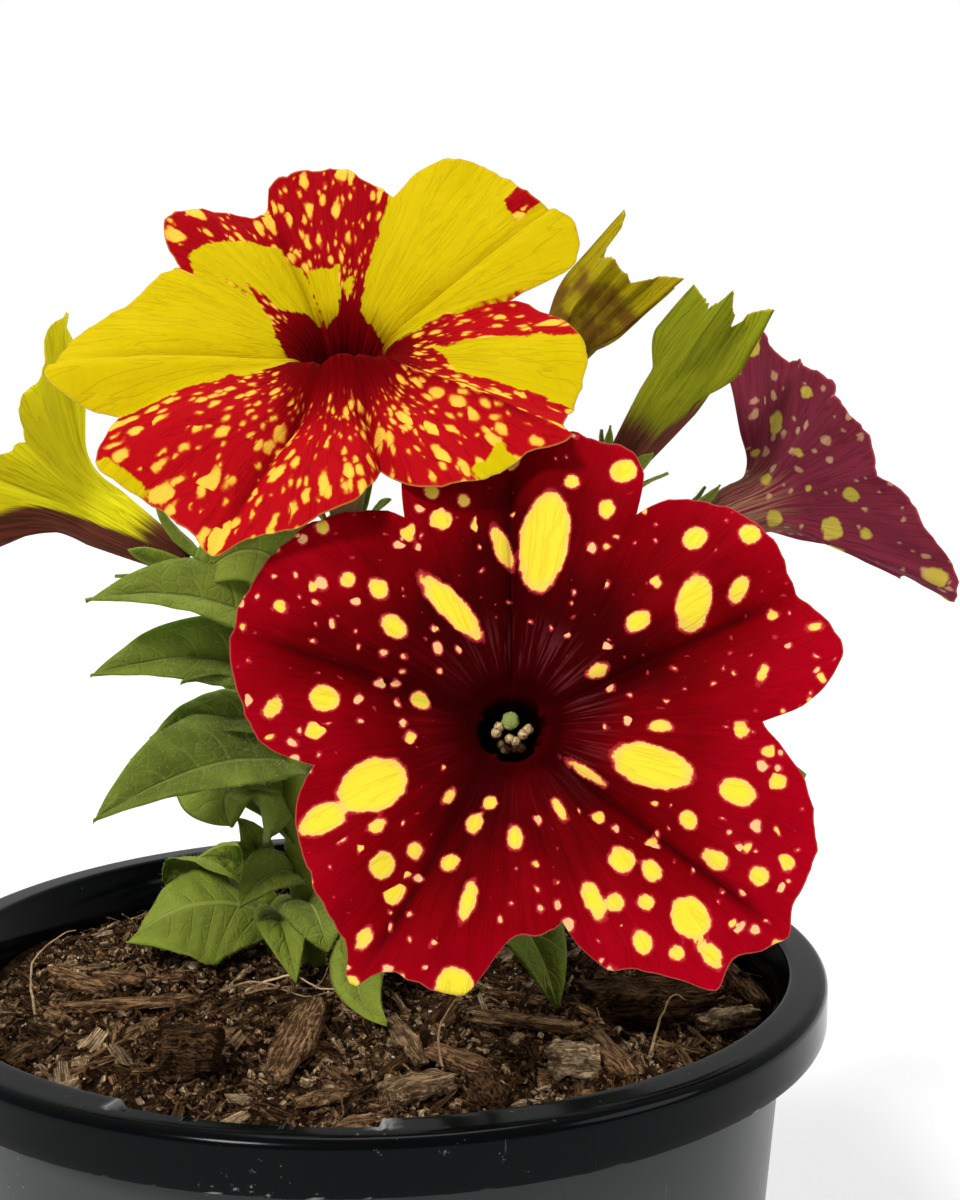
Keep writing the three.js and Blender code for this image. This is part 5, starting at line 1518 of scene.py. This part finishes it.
ROOTED = (-22, -13, -5)  # heights through which each stem rises straight from its foot
STEMS = {
    "main_leafy_stem": {
        "carries": ("top_bloom", "left_bloom"), "radii": (2.3, 2.1, 1.8, 1.6),
        "foot": (-10, 8), "path": ((-12, 8, 8), (-13, 5, 26), (-12, 2, 40),
                 (-10, 1, 47)),
        "leaves": (
            leaf(0.62, (-22, -2, 18), 21, (-9, -3, 7), (-0.5, -0.85, 0.4), 10, 0.25),
            leaf(0.7, (-39, -22, 23.5), 16, (2, 0, 7), (0, -0.75, 0.7)),
            leaf(0.78, (-34, -6, 32.5), 9, (0, 0, 5), (0, -0.7, 0.75)),
            leaf(0.86, (-28, -15, 42), 5.5, (-3, 2, 4), (0, -0.5, 0.9)),
            leaf(0.9, (-41, -14, 43), 13, (2, 0, 6), (0, -0.8, 0.6), 20, 0.1),
            leaf(0.97, (-41, -17, 54), 13, (3, -5, 8), (0, -0.7, 0.7), 22, 0.2),
            leaf(0.99, (-28, -9, 55), 15, (4, -3, 20), (0.2, -1, 0.2), 20, 0.2),
            leaf(0.94, (-24, -6, 50), 12, (0, -2, 6), (0, -0.8, 0.6), 20, 0.1),
            leaf(0.42, (-21, -1, 5), 9, (0, -2, 6), (0, -0.7, 0.7), 20, 0.3),
            leaf(0.36, (-7, -5, -1), 12, (0, -3, 5), (0, -0.7, 0.7), 20),
            leaf(0.5, (-42, 22, 24), 14, (0, 0, 8)),
            leaf(0.6, (-22, 38, 28), 15, (0, 0, 8)),
            leaf(0.75, (-40, 24, 44), 12, (0, 0, 6)),
            leaf(0.92, (-22, 32, 56), 12, (0, 0, 6)),
        ),
    },
    "low_leafy_shoot": {
        "carries": (), "radii": (1.6, 1.4, 1.1),
        "foot": (-17, 17), "path": ((-18, 15, 2), (-19, 13, 8)),
        "leaves": (
            leaf(0.66, (-41, 13.5, -5), 21, (0, -3, 10), (0, -0.55, 0.85), -18, 0.55),
            leaf(0.74, (-12, -4, -6), 8.5, (0, -3, 7), (0, -0.8, 0.6), 20, 0.6),
            leaf(0.98, (-22, 4, 18), 5.5, (2, -2, 2), (0, -1, 0.2), 20, 0.5),
            leaf(0.92, (-28, 8, 11), 5, (0, 0, 2), (0, -0.8, 0.5), 24, 0.7),
            leaf(0.97, (-22, 5, 14), 3.4, (0, 0, 1), (0, -0.9, 0.3), 24, 0.8),
            leaf(0.8, (-38, 32, 0), 14, (0, 0, 8), young=0.4),
        ),
    },
    "front_leafy_stem": {
        "carries": ("front_bloom",), "radii": (1.9, 1.8, 1.5),
        "foot": (-3, 4), "path": ((2, 5, 4), (8, 7, 11), (14, 8, 15)),
        "leaves": (
            leaf(0.6, (-2, -12, -7), 11, (0, -3, 6), (0, -0.7, 0.7), 24, 0.2),
            leaf(0.66, (2, -21, -6.2), 8.5, (-10, -6, -4), (0, -0.3, 0.95), 14, 0.5),
            leaf(0.8, (27.5, -15, -6.8), 14, (6.5, 0, 9), (0.2, -0.7, 0.6), 16, 0.15),
            leaf(0.9, (-2, -14, 14), 9, (0, 0, 5)),
            leaf(0.95, (28, -12, 10), 11, (0, 0, 8)),
        ),
    },
    "right_leafy_stem": {
        "carries": ("right_bloom",), "radii": (2.1, 1.9, 1.5),
        "foot": (8, 12), "path": ((17, 14, 10), (30, 14, 28), (40, 12, 44)),
        "leaves": (
            leaf(0.72, (68, -5, 26), 12, (0, 0, 8)),
            leaf(0.5, (52, 6, 6), 14, (0, 0, 8)),
            leaf(0.58, (46, 38, 12), 15, (0, 0, 9)),
            leaf(0.68, (28, 42, 26), 13, (0, 0, 8)),
            leaf(0.82, (70, 30, 36), 13, (0, 0, 8)),
            leaf(0.92, (38, 36, 50), 11, (0, 0, 6), young=0.2),
            leaf(0.97, (66, 2, 44), 9, (0, 0, 5), young=0.2),
            leaf(0.42, (34, 36, -3), 13, (0, 0, 9)),
        ),
    },
    "back_leafy_stem": {
        "carries": ("opening_bud", "fluted_bud"), "radii": (2.0, 1.8, 1.5),
        "foot": (0, 16), "path": ((5, 17, 14), (14, 15, 36), (24, 12, 57)),
        "leaves": (
            leaf(0.45, (-2, 46, 8), 15, (0, 0, 9)),
            leaf(0.6, (4, 44, 34), 14, (0, 0, 8)),
            leaf(0.7, (36, -6, 40), 12, (0, 0, 6)),
            leaf(0.78, (10, -14, 50), 11, (0, 0, 5)),
            leaf(0.84, (12, 40, 58), 12, (0, 0, 7)),
            leaf(0.93, (41, 0, 50), 10, (0, 0, 5), young=0.2),
            leaf(0.97, (16, 34, 74), 9, (0, 0, 5), young=0.3),
        ),
    },
}
LEAF = {"petiole": 0.16, "wave": 0.05, "rows": 46, "across": 17, "vein_rows": 6.5, "vein_bend": 1.25,
        "vein_sweep": 0.17, "quilt": 0.013, "arch": 0.09}


def leaf_outline(t):
    """Half width of a leaf along it, as a share of its greatest half width."""
    stalk = LEAF["petiole"] * (1 - ease(t / 0.25))
    oval = np.sin(math.pi * np.minimum(1, (0.04 + 0.96 * t) ** 0.92))
    return stalk + np.maximum(oval, 0) ** 0.85 + 0.03 * (1 - t)


def both_sides(sheet, normal, above, below):
    """Rings round a thin blade from a sheet of its lines across, and how thick each side is."""
    upper = sheet + normal * above[..., None]
    lower = sheet - normal * below[..., None]
    return np.concatenate([upper, lower[:, -2:0:-1]], 1)


def add_leaf(shape, root, own, thickness, seed):
    """A leaf from a root inside its stem to its tip: arched, folded, waved and quilted by its veins."""
    tip = np.array(own["tip"], float)
    middle = (root + tip) / 2 + np.array(own["bow"], float)
    t = (np.linspace(0, 1, LEAF["rows"]) ** 0.95)[:, None]
    centre = (1 - t) ** 2 * root + 2 * t * (1 - t) * middle + t * t * tip
    along = unit(2 * (1 - t) * (middle - root) + 2 * t * (tip - middle))
    side = unit(np.cross(unit(own["face"]), along))
    normal = np.cross(along, side)[:, None]
    width, fold = own["width"], math.radians(own["fold"])
    half = np.maximum(width / 2 * leaf_outline(t), 0.12)
    v = np.linspace(-1, 1, LEAF["across"])[None, :]
    inward = np.abs(v)
    soft = np.sqrt(v * v + 0.006) - 0.0775
    wave = LEAF["wave"] * width * np.sin(7 * t + 2.5 * v) * inward * ease(4 * t)
    forward = LEAF["vein_sweep"] * inward ** LEAF["vein_bend"]
    veins = np.cos(2 * math.pi * (LEAF["vein_rows"] * (t - forward) - 0.5))
    swelling = np.sin(math.pi * t)
    quilt = -LEAF["quilt"] * width * veins * np.sin(math.pi * np.minimum(inward, 0.92)) * swelling
    arch = LEAF["arch"] * width * np.sin(math.pi * inward) * swelling * (1 if fold > 0 else -0.5)
    flat = np.stack([width * v + 0 * t, 20 * t + 0 * v, 0 * (t + v)], -1)
    crumple = 0.35 * rough(flat, 3.5, seed) * ease(4 * t) + 0.3 * rough(flat, 1.8, seed + 5) * inward ** 3
    lift = half * soft * math.sin(fold) + wave + quilt + arch + crumple
    ragged = 1 + 0.02 * rough(flat * (0.2, 1, 1), 1.2, seed + 2)
    sheet = centre[:, None] + side[:, None] * (half * v * math.cos(fold) * ragged)[..., None]
    sheet = sheet + normal * lift[..., None]
    thick = thickness / MM * (0.3 + 0.7 * (1 - v ** 2)) / 2 + 0 * t
    rib = bell(v / 0.09) * (0.55 * (1 - t) + 0.12)
    rings = both_sides(sheet, normal, thick - 0.3 * rib, thick + rib)
    across = np.concatenate([v, v[:, -2:0:-1]], 1)
    young = np.clip(own["young"] + 0.25 * ease((t - 0.75) / 0.25), 0, 1)
    shape.add(rings, across=across, along=t, is_leaf=1.0, young=young)


def add_stalk(shape, bloom, stem):
    """A bloom's stalk, its calyx cup and its five sepals."""
    axis, _, _, mouth = bloom_frame(bloom)
    seat = mouth - axis * (bloom["tube"] + BLADE + SEAT)
    foot = seat - axis * CALYX["depth"]
    points = [stem.at(bloom["from"])[0], np.array(bloom["by"], float), foot - axis * CALYX["neck"],
              foot + axis * CALYX["depth"] / 4]
    line = Way(points).at(np.linspace(0, 1, 30))
    shape.add(rod(line, CALYX["stalk"] * np.linspace(1.0, 0.88, 30), 14), young=0.75)
    t = np.linspace(0, 1, 12)
    swell = CALYX["foot"] + (CALYX["cup"] - CALYX["foot"]) * np.sin(math.pi / 2 * t) ** 0.8
    shape.add(rod(foot + axis * (CALYX["depth"] * t)[:, None], swell, 30), young=0.6)
    t, v = np.linspace(0, 1, 22)[:, None], np.linspace(-1, 1, 9)[None, :]
    for index in range(CALYX["sepals"]):
        outward = outward_at(bloom, 2 * math.pi * (index + 0.75) / CALYX["sepals"])
        side = np.cross(outward, axis)
        lean = np.radians(CALYX["lean"] + CALYX["spread"] * t)
        along = CALYX["sepal"] * t - CALYX["root"]
        centre = seat + axis * along * np.cos(lean)
        centre = centre + outward * (CALYX["cup"] - BLADE / 2 + np.maximum(along, 0) * np.sin(lean))
        half = CALYX["width"] / 2 * (0.62 + 0.5 * np.sin(math.pi * t * 0.9) - 0.5 * t * t)
        half = half * np.sqrt(np.clip((1 - t) / 0.12, 0.02, 1))
        normal = (outward * np.cos(lean) - axis * np.sin(lean))[:, None]
        flat = np.stack([v + 0 * t, 6 * t + 0 * v, 0 * (t + v)], -1)
        cupped = 0.28 * half * v * v + 0.18 * rough(flat, 1.2, index)
        sheet = centre[:, None] + side * (half * v)[..., None] - normal * cupped[..., None]
        thick = 0.22 * (1.1 - v ** 2) + 0 * t
        rings = both_sides(sheet, normal, thick + 0.3 * bell(v / 0.2) * (1 - t), thick)
        across = np.concatenate([v, v[:, -2:0:-1]], 1)
        shape.add(rings, across=across, along=t, is_leaf=0.6, young=0.55)


def build_stems(settings):
    """The leafy stems, with their stalks and calyces, and the down all over them."""
    finish = leaf_green(settings)
    ground = bmesh.new()
    for order, (name, stem) in enumerate(STEMS.items()):
        way = Way([(*stem["foot"], height) for height in ROOTED] + list(stem["path"]))
        shares = np.linspace(0, 1, 70)
        radii = np.interp(shares, np.linspace(0, 1, len(stem["radii"])), stem["radii"])
        for own in stem["leaves"]:
            radii = radii + 0.35 * bell((shares - own["at"]) / 0.018)
        radii = radii * np.sqrt(np.clip((1 - shares) / 0.02, 0.1, 1))
        shape = Shape("across", "along", "is_leaf", "young")
        shape.add(rod(way.at(shares), radii, 18), young=0.6)
        for index, own in enumerate(stem["leaves"]):
            add_leaf(shape, way.at(own["at"])[0], own, settings.thickness, 10.0 * order + index)
        for bloom in stem["carries"]:
            add_stalk(shape, BLOOMS[bloom], way)
        piece = in_place(shape.piece(name + "_grown", finish), "leaf", name)
        ground.from_mesh(piece.data)
    downy = bpy.data.meshes.new("downy")
    ground.to_mesh(downy)
    ground.free()
    length_mm = settings.down_length / MM
    hair = small_shape("hair", rod([(0, 0, 0), (0, 0, length_mm)], [0.022, 0.004], 3), finish)
    inputs = {"Seed": 3, "Tilt": 0.5, "Smallest": 0.5, "Largest": 1.2,
              "Per Square Metre": settings.down / DECIMETRE ** 2}
    in_place(strewn("down", downy, [hair], down_finish(), **inputs), "leaf", *STEMS)


# ---------------------------------------------------------------------------
# The studio
# ---------------------------------------------------------------------------

CAMERA = {"place": (0, -0.2046, 0.1763), "pitch": 2.99, "yaw": 4.58, "roll": 0.62}  # degrees
LAMPS = {  # where from, strength, how soft in degrees, colour
    "key_light": ((-0.55, -0.80, 0.75), 2.4, 12.0, (1.0, 0.98, 0.95)),
    "top_light": ((0.05, 0.30, 1.0), 1.3, 30.0, (1.0, 1.0, 1.0)),
    "fill_light": ((0.80, -0.35, 0.55), 0.8, 30.0, (0.97, 0.98, 1.0)),
}


FLOOR = {"radius": 40, "sides": 96}  # metres


def build_camera(settings):
    """The camera at the photograph's angle: a little down, towards +X, and rolled."""
    data = bpy.data.cameras.new("studio_camera")
    data.lens = settings.lens
    data.clip_start = 0.01
    camera = linked("studio_camera", data)
    pitch, yaw, roll = (math.radians(CAMERA[key]) for key in ("pitch", "yaw", "roll"))
    ahead = Vector((math.sin(yaw) * math.cos(pitch), math.cos(yaw) * math.cos(pitch), -math.sin(pitch)))
    right = Vector((math.cos(yaw), -math.sin(yaw), 0))
    up = right.cross(ahead)
    turned = math.cos(roll) * right + math.sin(roll) * up
    upward = math.cos(roll) * up - math.sin(roll) * right
    axes = Matrix((turned, upward, -ahead)).transposed()
    camera.matrix_world = Matrix.Translation(CAMERA["place"]) @ axes.to_4x4()
    bpy.context.scene.camera = camera


def build_lights(settings):
    """Soft daylight that is brightest behind the plant, and three soft suns."""
    world = bpy.data.worlds.new("pale_room")
    bpy.context.scene.world = world
    world.use_nodes = True
    new, link = world.node_tree.nodes.new, world.node_tree.links.new
    light = world.node_tree.nodes["Background"]
    light.inputs["Strength"].default_value = settings.daylight
    parts = new("ShaderNodeSeparateXYZ")
    link(new("ShaderNodeTexCoord").outputs["Generated"], parts.inputs[0])
    ramp = new("ShaderNodeMapRange")
    for socket, value in zip((1, 2, 3, 4), (-0.5, 0.5, 0.22, 1.0)):
        ramp.inputs[socket].default_value = value
    link(parts.outputs["Y"], ramp.inputs[0])
    link(ramp.outputs[0], light.inputs["Color"])
    seen = new("ShaderNodeBackground")
    seen.inputs["Color"].default_value = (*settings.backdrop, 1)
    either = new("ShaderNodeMixShader")
    link(new("ShaderNodeLightPath").outputs["Is Camera Ray"], either.inputs[0])
    link(light.outputs[0], either.inputs[1])
    link(seen.outputs[0], either.inputs[2])
    link(either.outputs[0], world.node_tree.nodes["World Output"].inputs["Surface"])
    for name, (place, strength, softness, tint) in LAMPS.items():
        data = bpy.data.lights.new(name, "SUN")
        data.energy = strength
        data.angle = math.radians(softness)
        data.color = tint
        lamp = linked(name, data)
        lamp.location = place
        lamp.rotation_euler = (-Vector(place)).to_track_quat("-Z", "Y").to_euler()


def build_floor(settings):
    """A plain pale floor that runs out of sight."""
    paint = Paint("pale_floor", 0.8, 0.2)
    paint.colour(settings.floor)
    angle = np.linspace(0, 2 * math.pi, FLOOR["sides"], endpoint=False)
    circle = FLOOR["radius"] * np.stack([np.cos(angle), np.sin(angle), 0 * angle], -1)
    mesh = bpy.data.meshes.new("floor")
    mesh.from_pydata(circle.tolist(), [], [list(range(FLOOR["sides"]))])
    mesh.materials.append(paint.material)
    linked("floor", mesh)


# ---------------------------------------------------------------------------
# Operators, panel and running order
# ---------------------------------------------------------------------------

class PETUNIA_OT_studio(bpy.types.Operator):
    """Sets up the pale floor, the soft lights and the camera"""
    bl_idname = "petunia.studio"
    bl_label = "Studio"

    def execute(self, context):
        settings = context.scene.petunia_studio
        build_camera(settings)
        build_lights(settings)
        build_floor(settings)
        context.scene.view_settings.view_transform = "Standard"
        return {"FINISHED"}


class PETUNIA_OT_pot(bpy.types.Operator):
    """Makes the black nursery pot with its rolled rim, label slot and drain holes"""
    bl_idname = "petunia.pot"
    bl_label = "Nursery pot"

    def execute(self, context):
        build_pot(context.scene.petunia_pot)
        return {"FINISHED"}


class PETUNIA_OT_mix(bpy.types.Operator):
    """Fills the pot with potting mix and strews bark, crumbs, fibres and grit over it"""
    bl_idname = "petunia.mix"
    bl_label = "Potting mix"

    def execute(self, context):
        build_mix(context.scene.petunia_mix)
        return {"FINISHED"}


class PETUNIA_OT_stems(bpy.types.Operator):
    """Grows the leafy stems with their stalks, calyces and down"""
    bl_idname = "petunia.stems"
    bl_label = "Leafy stems"

    def execute(self, context):
        build_stems(context.scene.petunia_leaves)
        return {"FINISHED"}


class PETUNIA_OT_blooms(bpy.types.Operator):
    """Opens the blooms and buds with their marked petals"""
    bl_idname = "petunia.blooms"
    bl_label = "Blooms"

    def execute(self, context):
        build_blooms(context.scene.petunia_blooms)
        return {"FINISHED"}


class PETUNIA_OT_stamens(bpy.types.Operator):
    """Sets the anthers and the stigma into each open bloom"""
    bl_idname = "petunia.stamens"
    bl_label = "Stamens"

    def execute(self, context):
        build_stamens()
        return {"FINISHED"}


OPERATORS = (PETUNIA_OT_studio, PETUNIA_OT_pot, PETUNIA_OT_mix, PETUNIA_OT_stems, PETUNIA_OT_blooms,
             PETUNIA_OT_stamens)
SETTINGS = {"petunia_studio": StudioSettings, "petunia_pot": PotSettings, "petunia_mix": MixSettings,
            "petunia_leaves": LeafSettings, "petunia_blooms": BloomSettings}


class PETUNIA_PT_sidebar(bpy.types.Panel):
    """Lists the steps that build the petunia, and their settings"""
    bl_idname = "PETUNIA_PT_sidebar"
    bl_label = "Potted petunia"
    bl_space_type = "VIEW_3D"
    bl_region_type = "UI"
    bl_category = "Petunia"

    def draw(self, context):
        for operator in OPERATORS:
            self.layout.operator(operator.bl_idname)
        for key, group in SETTINGS.items():
            box = self.layout.box()
            for name in group.__annotations__:
                box.prop(getattr(context.scene, key), name)


CLASSES = (*SETTINGS.values(), *OPERATORS, PETUNIA_PT_sidebar)


def register():
    """Registers every class and hangs the settings on the scene."""
    for made in CLASSES:
        bpy.utils.register_class(made)
    for key, group in SETTINGS.items():
        setattr(bpy.types.Scene, key, PointerProperty(type=group))


def unregister():
    """Takes away what register added."""
    for key in SETTINGS:
        delattr(bpy.types.Scene, key)
    for made in reversed(CLASSES):
        bpy.utils.unregister_class(made)


def main():
    """Builds everything in order."""
    register()
    for operator in OPERATORS:
        group, name = operator.bl_idname.split(".")
        getattr(getattr(bpy.ops, group), name)()


if __name__ == "__main__":
    main()
